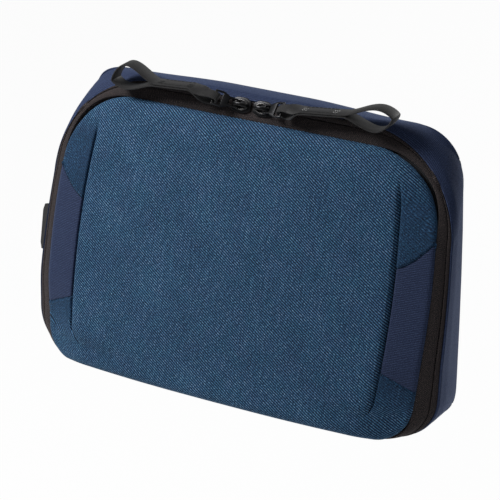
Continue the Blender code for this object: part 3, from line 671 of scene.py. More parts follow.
def zip_tape_black():
    """Woven tape whose ribs form long chevrons."""
    cloth = Cloth("zip_tape_black")
    x, z, _ = cloth.plane()
    fold = cloth.maths("PINGPONG", z, 2.2 * MM)
    rib = cloth.wave(cloth.add(x, fold), 0.95)
    grain = cloth.noise(x, z, 0.6, 0.45)
    lit = cloth.add(cloth.times(rib, 0.3), cloth.times(grain, 1.1), -0.2)
    colour = cloth.ramp(lit, (0.25, srgb(12, 9, 11)), (0.5, srgb(29, 25, 27)), (0.78, srgb(84, 72, 70)))
    cloth.bump(lit, 0.25, 0.8)
    return cloth.surface(colour, 0.8, sheen=0.12, tint=srgb(170, 160, 160), specular=0.3)


def pull_webbing():
    """Flat ribbed webbing."""
    cloth = Cloth("pull_webbing")
    x, z, _ = cloth.plane()
    rib = cloth.wave(x, 0.75)
    grain = cloth.noise(x, z, 0.5, 0.3)
    lit = cloth.add(cloth.times(rib, 0.35), cloth.times(grain, 0.65))
    colour = cloth.ramp(lit, (0.2, srgb(11, 11, 12)), (0.5, srgb(27, 26, 27)), (0.85, srgb(62, 60, 59)))
    cloth.bump(lit, 0.14, 0.6)
    return cloth.surface(colour, 0.6, sheen=0.1, tint=grey(0.8), specular=0.35)


def coil_nylon():
    cloth = Cloth("coil_nylon")
    grain = cloth.solid_noise(0.4)
    colour = cloth.ramp(grain, (0.3, srgb(13, 13, 14)), (0.8, srgb(34, 33, 35)))
    cloth.bump(grain, 0.04, 0.4)
    return cloth.surface(colour, 0.38)


def painted_zinc():
    """Black enamel on die-cast zinc, painted paler along the edges: partly wear of the enamel, partly painted
    highlight.
    """
    cloth = Cloth("painted_zinc")
    grain = cloth.solid_noise(1.4, 3.0)
    edge = cloth.node("ShaderNodeNewGeometry", output=7)
    edge_wear_and_highlight = cloth.maths("MULTIPLY", cloth.maths("SUBTRACT", edge, 0.53), 9.0)
    edge_wear_and_highlight = cloth.node("ShaderNodeClamp", inputs={0: cloth.times(edge_wear_and_highlight, cloth.add(grain, 0.3))})
    # Painted highlight and wear: sharp edges are mixed towards pale grey.
    colour = cloth.blend(edge_wear_and_highlight, srgb(24, 24, 26), srgb(150, 148, 146))
    cloth.bump(grain, 0.05, 0.3)
    roughness = cloth.add(cloth.times(grain, 0.18), 0.22)
    return cloth.surface(colour, roughness, metallic=0.75)


def lining_cloth():
    """Light ripstop lining: a fine ground with a raised grid."""
    cloth = Cloth("lining_cloth")
    x, z, _ = cloth.plane()
    ground = weave(cloth, x, z, 0.6)
    grid = cloth.maths("MAXIMUM", cloth.wave(x, 4.0), cloth.wave(z, 4.0))
    ridge = cloth.maths("POWER", grid, 40.0)
    grain = cloth.noise(x, z, 3.0, 3.0)
    lit = cloth.add(cloth.times(ground, 0.25), cloth.times(ridge, 0.25), cloth.times(grain, 0.5))
    colour = cloth.ramp(lit, (0.2, srgb(66, 68, 72)), (0.8, srgb(112, 115, 121)))
    cloth.bump(cloth.add(cloth.times(ground, 0.3), ridge), 0.12)
    return cloth.surface(colour, 0.7, sheen=0.2, specular=0.3)


def padding_foam():
    cloth = Cloth("padding_foam")
    cells = cloth.solid_noise(0.8, 4.0)
    colour = cloth.ramp(cells, (0.3, srgb(120, 120, 122)), (0.75, srgb(176, 176, 178)))
    cloth.bump(cells, 0.4, 0.8)
    return cloth.surface(colour, 0.95, specular=0.1)


def elastic_band():
    """Ribbed elastic: fine cords across, knitted edges along."""
    cloth = Cloth("elastic_band")
    x, z, _ = cloth.plane()
    cord = cloth.wave(z, 0.9)
    knit = cloth.wave(x, 0.6)
    grain = cloth.noise(x, z, 0.5, 0.4)
    lit = cloth.add(cloth.times(cord, 0.4), cloth.times(knit, 0.15), cloth.times(grain, 0.45))
    colour = cloth.ramp(lit, (0.2, srgb(16, 16, 18)), (0.85, srgb(54, 54, 58)))
    cloth.bump(cloth.add(cloth.times(cord, 0.7), cloth.times(knit, 0.3)), 0.25)
    return cloth.surface(colour, 0.7, sheen=0.2, specular=0.3)


def pocket_mesh():
    cloth = Cloth("pocket_mesh")
    grain = cloth.solid_noise(0.5)
    colour = cloth.ramp(grain, (0.3, srgb(22, 22, 24)), (0.8, srgb(52, 52, 56)))
    cloth.bump(grain, 0.06, 0.5)
    return cloth.surface(colour, 0.7, sheen=0.2)


FINISHES = {
    make.__name__: make
    for make in (
        teal_twill,
        navy_weave,
        zip_tape_black,
        pull_webbing,
        coil_nylon,
        painted_zinc,
        lining_cloth,
        padding_foam,
        elastic_band,
        pocket_mesh,
    )
}


def finish_of(slot):
    made = bpy.data.materials.get(f"{slot}_look")
    if made is None:
        made = FINISHES[slot]()
        made.name = f"{slot}_look"
    return made


# ---------------------------------------------------------------- padded cover


def rolled(distance, width):
    """Quarter-ellipse roll from 0 at an edge to 1 at a width's distance."""
    return np.sqrt(1.0 - (1.0 - clamp(distance / width)) ** 2)


def edge_distance(outline, x, z):
    """How far a point lies inside an outline, measured square to its sides and radially in its corners."""
    side = outline.half_width(z) - np.abs(x)
    inside = np.minimum(side, np.minimum(z - outline.z_bottom, outline.z_top - z))
    ends = ((outline.z_bottom, outline.r_bottom, 1.0), (outline.z_top, outline.r_top, -1.0))
    for z_end, radius, sign in ends:
        centre_z = z_end + sign * radius
        beyond = (centre_z - z) * sign
        over = radius - side
        round_off = radius - np.hypot(np.maximum(over, 0.0), np.maximum(beyond, 0.0))
        inside = np.where((beyond > 0.0) & (over > 0.0), round_off, inside)
    return np.maximum(inside, 0.0)


def spaced(*stretches):
    """Rising values made of (start, stop, count) stretches that share their ends."""
    values = [np.linspace(start, stop, count, endpoint=False) for start, stop, count in stretches]
    return np.concatenate([*values, [stretches[-1][1]]])


def mirrored(values):
    return np.concatenate([-values[:0:-1], values])


def panel_grid(outline, columns, rows):
    """x and z of a grid that fills an outline; columns are fractions of its half width, rows of its height."""
    u, v = np.meshgrid(columns, rows)
    z_low, z_high = outline.edge_z(u)
    z = mix(z_low, z_high, v)
    return u * outline.half_width(z), z


def dart_curl(z, side):
    """How far the foot of a side's dart has curled towards the middle at height z."""
    curl = np.where(np.asarray(side) < 0.0, DART_CURL_LEFT, DART_CURL_RIGHT)
    return curl * (1.0 - clamp((z - DART_LOW) / DART_CURL_HEIGHT)) ** 2


def dart_x(z, side):
    """Distance of a side's dart from the middle; only the sign of side counts."""
    return DART_U * COVER_SEAM.half_width(z) - dart_curl(z, side)


def dart_strength(z):
    """1 along the dart, fading to 0 where it runs out at both ends."""
    return smooth((z - DART_LOW) / 7.0) * smooth((DART_HIGH + 4.0 - z) / 16.0)


def patch_share(x, z):
    """0 at the dart and 1 at the zip band, on the strip that holds the patch."""
    start = dart_x(z, x)
    return clamp((np.abs(x) - start) / (COVER_SEAM.half_width(z) - start))


def patch_top(share):
    return mix(PATCH_TOP_AT_DART, PATCH_TOP_AT_BAND, share**1.5)


def patch_bottom(share):
    corner = 2.2 * (1.0 - clamp(share / 0.08)) ** 2
    return mix(PATCH_BOTTOM_AT_DART - 1.4, PATCH_BOTTOM_AT_BAND - 0.5, share) + corner


def cover_rise(x, z):
    """How far the padded cover stands forward of the seam plane, without its dart and patch."""
    t = COVER_SEAM.rise(z)
    at_dart = mix(DART_RISE_BOTTOM, DART_RISE_TOP, t)
    at_middle = mix(CROWN_BOTTOM, CROWN_TOP, t)
    dart = dart_x(z, x)
    half = COVER_SEAM.half_width(z)
    over = np.abs(x)
    centre = at_dart + (at_middle - at_dart) * (1.0 - clamp(over / dart) ** 2.5)
    strip = at_dart * clamp((half - over) / (half - dart))
    rise = np.where(over <= dart, centre, strip)
    z_low, z_high = COVER_SEAM.edge_z(np.clip(x / half, -1.0, 1.0))
    return rise * rolled(z - z_low, ROLL_BOTTOM) * rolled(z_high - z, ROLL_TOP)


def cover_detail(x, z, points):
    """Padding lip and stitched groove at each dart, and the cloth's slight unevenness."""
    strength = dart_strength(z)
    inward = dart_x(z, x) - np.abs(x)
    groove = -1.9 * np.exp(-((inward / 0.75) ** 2))
    lip = 1.25 * (1.0 - np.exp(-np.maximum(inward, 0.0) / 2.4)) * np.exp(-np.maximum(inward, 0.0) / 30.0)
    hollow = -0.45 * np.exp(-np.maximum(-inward, 0.0) / 4.0) * (inward < 0.0)
    uneven = 0.30 * rumple(points, 70.0, 3) + 0.13 * rumple(points, 24.0, 5)
    calm = rolled(edge_distance(COVER_SEAM, x, z), 14.0)
    return strength * (groove + lip + hollow) + uneven * calm


def cover_face(x, z, lift):
    """Points of the cover's outer face at x and z, lifted off the seam plane."""
    flat = np.stack([x, COVER_SEAM.seam_y(x, z), z], axis=-1)
    edge = edge_distance(COVER_SEAM, x, z)
    out = cover_rise(x, z) + cover_detail(x, z, flat) + lift * rolled(edge, 2.4)
    flat[..., 1] -= out
    bulge = OVERHANG * np.sin(math.pi * clamp((edge + 0.7) / 9.0)) ** 0.8
    centre_z = (COVER_SEAM.z_bottom + COVER_SEAM.z_top) / 2.0
    down = clamp((centre_z - z) / centre_z)
    flat[..., 2] -= bulge * (0.35 * clamp((z - centre_z) / centre_z) * -1.0 + down**3)
    return flat


COVER_COLUMNS = mirrored(
    spaced((0.0, 0.74, 38), (0.74, 0.80, 8), (0.80, 0.852, 18), (0.852, 0.96, 14), (0.96, 1.0, 9))
)
COVER_ROWS = spaced((0.0, 0.03, 8), (0.03, 0.12, 12), (0.12, 0.86, 98), (0.86, 0.97, 16), (0.97, 1.0, 8))


def cover_places():
    """Grid of the cover whose columns follow the dart's curl."""
    x, z = panel_grid(COVER_SEAM, COVER_COLUMNS, COVER_ROWS)
    u = np.abs(x) / COVER_SEAM.half_width(z)
    reach = np.where(u < DART_U, 0.35 * DART_U, 1.0 - DART_U)
    weight = clamp(1.0 - np.abs(u - DART_U) / reach)
    return x - np.sign(x) * dart_curl(z, x) * weight, z


def patch_recess(x, z):
    """1 where the patch lies, 0 elsewhere."""
    share = patch_share(x, z)
    over = np.minimum(z - patch_bottom(share), patch_top(share) - z)
    inward = dart_x(z, x) - np.abs(x)
    return smooth((over + 0.35) / 0.7) * smooth((-inward + 0.2) / 0.6)


def cover_cloth(x, z):
    """Outer face of the twill, which steps back under each patch."""
    outer = cover_face(x, z, COVER_LIFT)
    share = patch_share(x, z)
    over = np.minimum(z - patch_bottom(share), patch_top(share) - z)
    hem = 0.4 * np.exp(-(((over + 0.9) / 0.55) ** 2)) * smooth((np.abs(x) - dart_x(z, x)) / 1.5)
    outer[..., 1] += (1.1 * patch_recess(x, z) - hem) * rolled(edge_distance(COVER_SEAM, x, z), 2.4)
    return outer


def cloth_coords(grid):
    """Distances along the cloth from a grid's middle, so that a weave isn't stretched where the cloth turns back."""
    middle_column, middle_row = grid.shape[1] // 2, grid.shape[0] // 2
    across = np.linalg.norm(np.diff(grid[..., :2], axis=1), axis=2)
    x = np.pad(np.cumsum(across, axis=1), ((0, 0), (1, 0)))
    up = arc_length(grid[:, middle_column])
    z_extra = up - up[middle_row] - grid[:, middle_column, 2]
    return np.stack([x - x[:, middle_column, None], grid[..., 2] + z_extra[:, None]], axis=-1)


def front_cover_skin():
    outer = cover_cloth(*cover_places())
    sheet_piece("front_cover_skin", outer, FABRIC, cloth_coords(outer), "teal_twill", "front_cover", ["front_panel"], flip=FRONT)


def side_patch(side, name):
    """The woven patch between a dart and the zip band."""
    share, rise = np.meshgrid(spaced((0.035, 0.12, 8), (0.12, 1.0, 26)), np.linspace(0.0, 1.0, 76))
    margin = 0.55
    z = mix(patch_bottom(share) + margin, patch_top(share) - margin, rise)
    start = dart_x(z, side)
    x = side * mix(start, COVER_SEAM.half_width(z) - 0.02, share)
    outer = cover_face(x, z, COVER_LIFT)
    rim = np.minimum(np.minimum(rise, 1.0 - rise) * 70.0, (share - 0.035) * 18.0)
    outer[..., 1] += 0.42 - 0.22 * rolled(rim, 1.6)
    coords = cloth_coords(outer)
    sheet_piece(name + "_cloth", outer, 0.4, coords, "navy_weave", "front_cover", [name], flip=FRONT * side)


# ---------------------------------------------------------------- zip band


def loft(near, far, fractions):
    """Rows of points between two rings of equal count."""
    f = np.asarray(fractions)[:, None, None]
    return near[None] * (1.0 - f) + far[None] * f


def inward_of(ring, across):
    """Unit direction from each ring point into the case, square to the band."""
    inward = unit(np.cross(across, along_ring(ring)))
    facing = np.sign(np.sum(inward * (CASE_MIDDLE - ring), axis=1, keepdims=True))
    return inward * facing


ACROSS = unit(SHELL_RING - COVER_RING)
PARTING_RING = mix(SHELL_RING, COVER_RING, PARTING)
INWARD = inward_of(PARTING_RING, ACROSS)
TO_SHELL = np.linalg.norm(SHELL_RING - PARTING_RING, axis=1, keepdims=True)
TO_COVER = np.linalg.norm(COVER_RING - PARTING_RING, axis=1, keepdims=True)
RING_LENGTH = arc_length(np.vstack([PARTING_RING, PARTING_RING[:1]]))[:-1]


ZIPPED = slice(ZIP_FIRST, ZIP_LAST + 1)


def band_at(across, inward):
    """Points beside the parting line at every place on the zipped part of the ring."""
    return PARTING_RING[ZIPPED] + ACROSS[ZIPPED] * across + INWARD[ZIPPED] * inward


def zip_band(name, start, stop, body, node, flange=0.0):
    """One woven half of the zip band, softly crowned; a flange turns in under the cover's edge."""
    rows = []
    steps = spaced((0.0, 0.12, 3), (0.12, 0.88, 8), (0.88, 1.0, 3))
    for f in steps:
        crown = 0.42 * math.sin(math.pi * f) ** 0.5 - 0.12
        rows.append(band_at(mix(start, stop, f), -crown))
    width = stop - start
    length = RING_LENGTH[ZIPPED][:, None]
    if flange:
        rows.insert(0, band_at(start, flange))
        steps = np.concatenate([[-0.2], steps])
    outer = np.array(rows)
    coords = np.stack(np.broadcast_arrays(length.T, steps[:, None] * width.T), axis=-1)
    sheet_piece(name, outer, TAPE, coords, "zip_tape_black", body, [node], flip=BAND)


def zip_coil(name, side, body, node):
    """A nylon coil sewn along one tape's parting edge."""
    pitch = 1.27
    path = band_at(side * (PARTING_GAP / 2.0 + 0.95), TAPE + 0.85)
    distance = arc_length(path)
    per_turn = 8
    count = int(distance[-1] / pitch) * per_turn
    at = np.arange(count) * pitch / per_turn
    turn = np.arange(count) * 2.0 * math.pi / per_turn

    def sample(values):
        return np.column_stack([np.interp(at, distance, values[:, k]) for k in range(3)])

    across = sample(ACROSS[ZIPPED])
    inward = sample(INWARD[ZIPPED])
    helix = sample(path) + across * (0.95 * np.cos(turn) * -side)[:, None] + inward * (0.5 * np.sin(turn))[:, None]
    verts, faces = tube_data(helix, 0.26, 5)
    mesh_piece(name, verts, faces, "coil_nylon", body, [node])


def end_stop(name):
    """A moulded block over the last turns of both coils."""
    verts, faces = block_data(node_low(name), node_high(name), 0.35)
    mesh_piece(name + "_moulding", verts, faces, "painted_zinc", "rear_shell", [name])


def hinge_strip():
    """The woven strip between cover and shell under the zip's ends, built flat; it rides on neither body."""
    half = COVER_SEAM.ring()[ZIP_FIRST][0] - 0.3
    shell_y = SHELL_SEAM.y_bottom - 0.5
    cover_y = COVER_SEAM.y_bottom + 0.5
    across = np.linspace(shell_y, cover_y, 33)
    along = np.linspace(-half, half, 97)
    x, y = np.meshgrid(along, across)
    bead = 0.25 * np.cos((y - HINGE[1]) / (shell_y - cover_y) * math.pi)
    outer = np.stack([x, y, -bead + 0.25], axis=-1)
    coords = np.stack([x, y], axis=-1)
    strip = sheet_piece("hinge_strip_cloth", outer, 0.6, coords, "navy_weave", None, ["hinge_strip"], flip=FRONT)
    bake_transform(strip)


# ---------------------------------------------------------------- navy shell


def shell_gusset():
    """The side wall from the zip band to the back seam, lightly padded and creased."""
    steps = spaced((0.0, 0.08, 4), (0.08, 0.88, 20), (0.88, 1.0, 7))
    depth = BACK_Y - SHELL_SEAM.y_bottom
    grid = loft(SHELL_RING, BACK_RING, mix(-TAPE_COVERED / depth, 1.0 - 1.9 / depth, steps))
    across = unit(BACK_RING - SHELL_RING)
    inward = inward_of(SHELL_RING, across)
    puff = 0.9 * np.sin(math.pi * clamp(steps)) ** 0.6
    folds = 0.55 * rumple(grid * np.array([1.0, 2.6, 1.0]), 62.0, 11) + 0.2 * rumple(grid, 20.0, 12)
    flat = np.sin(math.pi * steps)[:, None]
    roll = 0.9 * (1.0 - rolled(1.0 - steps, 0.07)) + 0.5 * (1.0 - rolled(steps, 0.05))
    lift = SHELL_LIFT * smooth(steps / 0.3)[:, None]
    standing = smooth(grid[..., 2] / 22.0)
    swell = (puff[:, None] + folds * flat + lift) * standing - roll[:, None]
    outer = grid - inward[None] * swell[..., None]
    run = np.linalg.norm(BACK_RING - SHELL_RING, axis=1)
    coords = np.stack(np.broadcast_arrays(RING_LENGTH[None], steps[:, None] * run[None]), axis=-1)
    sheet_piece("shell_gusset", outer, FABRIC, coords, "navy_weave", "rear_shell", ["rear_gusset"], wrap=True, flip=BAND)


PANEL_COLUMNS = mirrored(spaced((0.0, 0.7, 20), (0.7, 0.94, 12), (0.94, 1.0, 9)))
PANEL_ROWS = spaced((0.0, 0.05, 9), (0.05, 0.2, 8), (0.2, 0.8, 26), (0.8, 0.95, 8), (0.95, 1.0, 9))


def shell_back():
    """The padded back panel; its edge turns in to meet the gusset in a seam."""
    outline = BACK_EDGE.inset(0.9 - SHELL_LIFT)
    x, z = panel_grid(outline, PANEL_COLUMNS, PANEL_ROWS)
    depth = edge_distance(outline, x, z)
    crown = 1.2 * smooth(depth / 50.0)
    flat = sunk(np.stack([x, np.full_like(x, BACK_Y), z], axis=-1))
    uneven = (0.28 * rumple(flat, 60.0, 21) + 0.12 * rumple(flat, 22.0, 22)) * rolled(depth, 16.0)
    outer = flat.copy()
    outer[..., 1] = BACK_Y - 1.7 + 1.9 * rolled(depth, 4.0) + crown + uneven
    coords = np.stack([-x, z], axis=-1)
    sheet_piece("shell_back", outer, FABRIC, coords, "navy_weave", "rear_shell", ["rear_panel"], flip=-FRONT)
    seam = sunk(BACK_EDGE.inset(0.55 - SHELL_LIFT).ring())
    seam[:, 1] = BACK_Y - 1.75
    verts, faces = tube_data(seam, 0.7, 8, closed=True)
    mesh_piece("back_seam_cord", verts, faces, "navy_weave", "rear_shell")


# ---------------------------------------------------------------- sliders, links and pulls


class Place:
    """A right-handed local frame: along, across and away from an origin, all in millimetres."""

    def __init__(self, origin, along, across, away):
        self.origin = np.array(origin)
        self.axes = np.array([along, across, away])

    def at(self, points):
        return self.origin + np.asarray(points, dtype=float) @ self.axes


def joint_axis(name):
    return np.array(next(j for j in frame["joints"] if j["name"] == name)["axis"])


TOP = len(SHELL_RING) // 2
LINK_START = 2.0
LINK_RISE = 3.2
PULL_TIP = -2.2
PULL_LEVEL = math.radians(4.0)
PULL_WIDTH = 9.2
PULL_NECK = 5.0
WEBBING = 0.95


def slider_place(side, word):
    along = np.array([float(side), 0.0, 0.0])
    away = -INWARD[TOP]
    origin = joint_place(f"link_{word}_swing") - along * LINK_START - away * LINK_RISE
    return Place(origin, along, ACROSS[TOP], away)


def link_place(side, word):
    start = joint_place(f"link_{word}_swing")
    along = unit(joint_place(f"pull_{word}_swing") - start)
    across = joint_axis(f"link_{word}_swing") * -side
    away = np.cross(along, across)
    return Place(start, along, across, away * np.sign(away[2]))


def pull_place(side, word):
    along = np.array([float(side), 0.0, 0.0])
    across = joint_axis(f"pull_{word}_swing") * -side
    away = np.cross(along, across)
    return Place(joint_place(f"pull_{word}_swing"), along, across, away * np.sign(away[2]))


def rounded_polygon(corners, radius, steps=5):
    """A polygon with each corner replaced by a quadratic bend."""
    corners = np.asarray(corners, dtype=float)
    points = []
    for k, corner in enumerate(corners):
        before = unit(corners[k - 1] - corner)
        after = unit(corners[(k + 1) % len(corners)] - corner)
        start = corner + before * radius
        end = corner + after * radius
        for f in np.linspace(0.0, 1.0, steps):
            points.append(start * (1 - f) ** 2 + corner * 2 * f * (1 - f) + end * f**2)
    return np.array(points)


def plate_data(outline, holes, thickness, bevel):
    """A flat plate with holes and bevelled edges, centred on its own plane, as points and faces."""
    curve = bpy.data.curves.new("plate", "CURVE")
    curve.dimensions = "2D"
    curve.fill_mode = "BOTH"
    curve.extrude = thickness / 2.0 - bevel
    curve.bevel_depth = bevel
    curve.bevel_resolution = 2
    curve.offset = -bevel
    for ring in [outline, *holes]:
        spline = curve.splines.new("POLY")
        spline.points.add(len(ring) - 1)
        spline.points.foreach_set("co", np.column_stack([ring, np.zeros(len(ring)), np.ones(len(ring))]).ravel())
        spline.use_cyclic_u = True
    thing = link_object("plate", curve)
    bpy.context.view_layer.update()
    graph = bpy.context.evaluated_depsgraph_get()
    mesh = bpy.data.meshes.new_from_object(thing.evaluated_get(graph))
    bm = bmesh.new()
    bm.from_mesh(mesh)
    bmesh.ops.remove_doubles(bm, verts=bm.verts, dist=0.0005)
    verts = np.array([v.co for v in bm.verts])
    faces = [[v.index for v in f.verts] for f in bm.faces]
    bm.free()
    bpy.data.objects.remove(thing)
    return verts, faces


def block_data(low, high, radius):
    """A box with rounded edges as points and faces."""
    bm = bmesh.new()
    bmesh.ops.create_cube(bm, size=1.0)
    bmesh.ops.scale(bm, verts=bm.verts, vec=np.array(high) - np.array(low))
    bmesh.ops.translate(bm, verts=bm.verts, vec=(np.array(high) + np.array(low)) / 2.0)
    bmesh.ops.bevel(bm, geom=bm.edges[:], offset=radius, segments=3, profile=0.5, affect="EDGES")
    verts = np.array([v.co for v in bm.verts])
    faces = [[v.index for v in f.verts] for f in bm.faces]
    bm.free()
    return verts, faces


def placed(place, *parts):
    """Local bodies moved into the case's frame and joined."""
    verts, faces = joined(parts)
    return place.at(verts), faces


def slider(side, word):
    """Zip slider: shield-shaped plate with a raised oval rim, an arched bridge, a post and an inner wing."""
    place = slider_place(side, word)
    low, high = 0.3, 1.5
    shield = rounded_polygon(
        [(-5.5, -2.3), (-2.4, -4.0), (2.4, -4.0), (5.5, -2.8), (5.5, 2.8), (2.4, 4.0), (-2.4, 4.0), (-5.5, 2.3)], 0.9
    )
    plate, plate_faces = plate_data(shield, [], high - low, 0.3)
    plate[:, 2] += (low + high) / 2.0
    turn = np.linspace(0.0, 2.0 * math.pi, 48, endpoint=False)
    oval = np.column_stack([3.7 * np.cos(turn), 2.5 * np.sin(turn), np.full(48, high + 0.25)])
    rim = tube_data(oval, 0.62, 10, closed=True)
    sweep = np.linspace(0.0, math.pi, 25)
    arch = np.column_stack([-4.0 * np.cos(sweep), np.zeros(25), high - 0.2 + 3.55 * np.sin(sweep) ** 0.6])
    bridge = arch_data(arch, 1.8, 0.9)
    inner_top = -(TAPE + 1.8)
    post = block_data((-1.3, -0.5, inner_top - 0.3), (1.3, 0.5, low + 0.3), 0.15)
    wing = block_data((-4.4, -3.7, inner_top - 0.9), (4.4, 0.5, inner_top), 0.3)
    verts, faces = placed(place, (plate, plate_faces), rim, bridge, post, wing)
    name = f"slider_{word}"
    mesh_piece(name + "_body", verts, faces, "painted_zinc", name, [name])


def arch_data(path, width, thickness):
    """A bar of oval section swept along a path in the local along-away plane."""
    tangent = unit(np.gradient(path, axis=0))
    out = np.cross(tangent, [0.0, 1.0, 0.0])
    turn = np.linspace(0.0, 2.0 * math.pi, 14, endpoint=False)
    oval = np.column_stack([np.cos(turn), np.sin(turn)])
    oval = np.sign(oval) * np.abs(oval) ** 0.7 * [width / 2.0, thickness / 2.0]
    across = np.array([0.0, 1.0, 0.0])
    verts = path[:, None] + oval[None, :, :1] * across + oval[None, :, 1:] * out[:, None]
    size = len(turn)
    faces = []
    for i in range(len(path) - 1):
        for k in range(size):
            m = (k + 1) % size
            faces.append([i * size + k, i * size + m, (i + 1) * size + m, (i + 1) * size + k])
    faces.append(list(range(size)))
    faces.append([(len(path) - 1) * size + k for k in range(size)])
    return verts.reshape(-1, 3), faces


def link(side, word):
    """Tapered link between the slider's bridge and the webbing."""
    place = link_place(side, word)
    sides = [(-0.45, 2.65), (4.0, 2.65), (7.5, 4.3), (12.6, 4.3)]
    outline = rounded_polygon(sides + [(a, -c) for a, c in reversed(sides)], 0.8)
    eye = rounded_polygon([(0.45, 1.75), (4.0, 1.75), (4.0, -1.75), (0.45, -1.75)], 0.7)
    slot = rounded_polygon([(7.9, 3.4), (11.4, 3.4), (11.4, -3.4), (7.9, -3.4)], 0.7)
    verts, faces = placed(place, plate_data(outline, [eye, slot], 0.95, 0.24))
    name = f"link_{word}"
    mesh_piece(name + "_plate", verts, faces, "painted_zinc", name, [name])


def loop_height(s, tip, root, height):
    """Half height of a teardrop loop that closes at its root and is round at its tip."""
    f = clamp((s - root) / (tip - root))
    return height * np.sin(math.pi * f**1.6) ** 0.75


class PullShape:
    """The lie of one pull's webbing: how far it rises, its slope outwards and its two loops."""

    def __init__(self, reach, lift, slope, small, big):
        self.root, self.end = reach
        self.lift = lift
        self.slope = slope
        self.small = small
        self.big = big

    def line(self, s):
        """Height of the strap's middle at distance s from the link."""
        return self.lift * smooth((s - 1.0) / 13.0) + self.slope * np.maximum(s - 14.0, 0.0)

    def strand(self, s, face):
        """Height of the upper (1) or lower (-1) strand's centreline."""
        k = 0 if face > 0 else 1
        gap = loop_height(s, PULL_TIP, 11.0, self.small[k]) + loop_height(s, self.end, self.root, self.big[k])
        touch = 0.5 * rolled(s - PULL_TIP, 1.2) * rolled(self.end - s, 1.2)
        return self.line(s) + np.hypot(gap, touch) * face


def twisted(points, place):
    """Local points of a pull whose webbing turns, past the link, until it lies almost level."""
    level = np.array([0.0, math.cos(PULL_LEVEL), math.sin(PULL_LEVEL)])
    level *= np.sign(level @ place.axes[1])
    full = math.atan2(level @ place.axes[2], level @ place.axes[1])
    turn = full * smooth((points[:, 0] - 2.0) / 12.0)
    across, away = points[:, 1], points[:, 2]
    return np.column_stack(
        [points[:, 0], across * np.cos(turn) - away * np.sin(turn), across * np.sin(turn) + away * np.cos(turn)]
    )


def webbing_pull(side, word, shape):
    """Webbing folded round the link, box-stitched flat and left open as a finger loop."""
    place = pull_place(side, word)
    bend = np.cos(np.linspace(0.0, math.pi / 2.0, 17)) ** 2
    near = PULL_TIP + 6.0 * (1.0 - np.sqrt(1.0 - (1.0 - bend) ** 2))[::-1]
    far = shape.end - 10.0 * (1.0 - np.sqrt(1.0 - (1.0 - bend) ** 2))
    s = np.unique(np.round(np.concatenate([near, np.linspace(near.max(), far.min(), 46), far]), 4))
    top = np.column_stack([s, np.zeros_like(s), shape.strand(s, 1.0)])
    bottom = np.column_stack([s, np.zeros_like(s), shape.strand(s, -1.0)])
    path = np.vstack([top, bottom[-2:0:-1]])
    path[:, 2] += 0.4 * rumple(path, 40.0, 30 + side)
    edge = path + [0.0, 1.0, 0.0]
    middle = twisted(path, place)
    neck = mix(PULL_NECK / PULL_WIDTH, 1.0, smooth((path[:, 0] - 1.5) / 8.0))
    name = f"pull_{word}"
    ribbon_piece(
        name + "_webbing",
        place.at(middle),
        (twisted(edge, place) - middle) @ place.axes,
        PULL_WIDTH,
        WEBBING,
        "pull_webbing",
        name,
        [name],
        closed=True,
        widths=neck,
    )
    stitches = pull_stitches(1.0, side, shape, place) + pull_stitches(-1.0, side, shape, place)
    verts, faces = placed(place, *stitches)
    mesh_piece(name + "_stitching", verts, faces, "coil_nylon", name)


def pull_stitches(face, side, shape, place):
    """A stitched box with a bar tack at each end, on one face of the sewn stretch."""
    start, stop, half = 12.5, 32.0, 3.3

    def surface(s, c, lift):
        flat = np.column_stack([s, np.zeros_like(s), shape.strand(s, face)])
        height = flat[:, 2] + 0.4 * rumple(flat, 40.0, 30 + side) + face * lift
        return twisted(np.column_stack([s, c, height]), place)

    run = np.linspace(start, stop, 40)
    rows = [(run, np.full(40, c)) for c in (-half, half)]
    for s in (start, start + 1.0, start + 2.0, stop - 2.0, stop - 1.0, stop):
        rows.append((np.full(20, s), np.linspace(-half, half, 20)))
    parts = []
    for s, c in rows:
        row = surface(s, c, WEBBING / 2.0)
        normals = unit(surface(s, c, WEBBING / 2.0 + 1.0) - row)
        parts += stitch_data(row, normals, 1.7, 0.6, 0.16)
    return parts


def side_tab():
    """Folded webbing loop sewn to the -X wall behind the zip band."""
    low, high = node_low("side_tab"), node_high("side_tab")
    sweep, reach, spread, behind = math.radians(23.0), 5.4, 3.0, 1.6
    seam_x = -SHELL_SEAM.half_width(low[2]) - 0.15
    seam_y = SHELL_SEAM.plane_y(high[2]) + behind
    out = np.array([-math.cos(sweep), math.sin(sweep), 0.0])
    aside = np.array([out[1], -out[0], 0.0])
    start = np.array([seam_x, seam_y, (low[2] + high[2]) / 2.0])
    centre = start + out * reach + aside * spread / 2.0
    turn = np.linspace(0.0, math.pi, 17)[:, None]
    fold = centre + (out * np.sin(turn) * 1.0 - aside * np.cos(turn)) * spread / 2.0
    first = start + out * np.linspace(-1.2, reach, 12, endpoint=False)[:, None]
    last = start + aside * spread + out * np.linspace(reach, -1.2, 12)[1:, None]
    path = np.vstack([first, fold, last])
    distance = (path - start) @ out
    rise = np.linspace(-1.0, 1.0, 25)
    tall = (high[2] - low[2]) / 2.0 + 1.6
    past = smooth((distance - 0.5) / reach)[:, None]
    corner = smooth((np.abs(rise) - 0.72) / 0.28)[None] * smooth((distance - reach + 1.5) / 2.5)[:, None]
    grid = path[:, None] + np.array([0.0, 0.0, 1.6]) + rise[None, :, None] * np.array([0.0, 0.0, tall])
    grid = grid + out * (past * (0.4 - 1.5 * rise[None]) - 1.3 * corner)[..., None]
    coords = np.stack(np.broadcast_arrays(arc_length(path)[:, None], (rise * tall)[None]), axis=-1)
    sheet_piece("side_tab_webbing", grid, 1.0, coords, "pull_webbing", "rear_shell", ["side_tab"])


# ---------------------------------------------------------------- inside


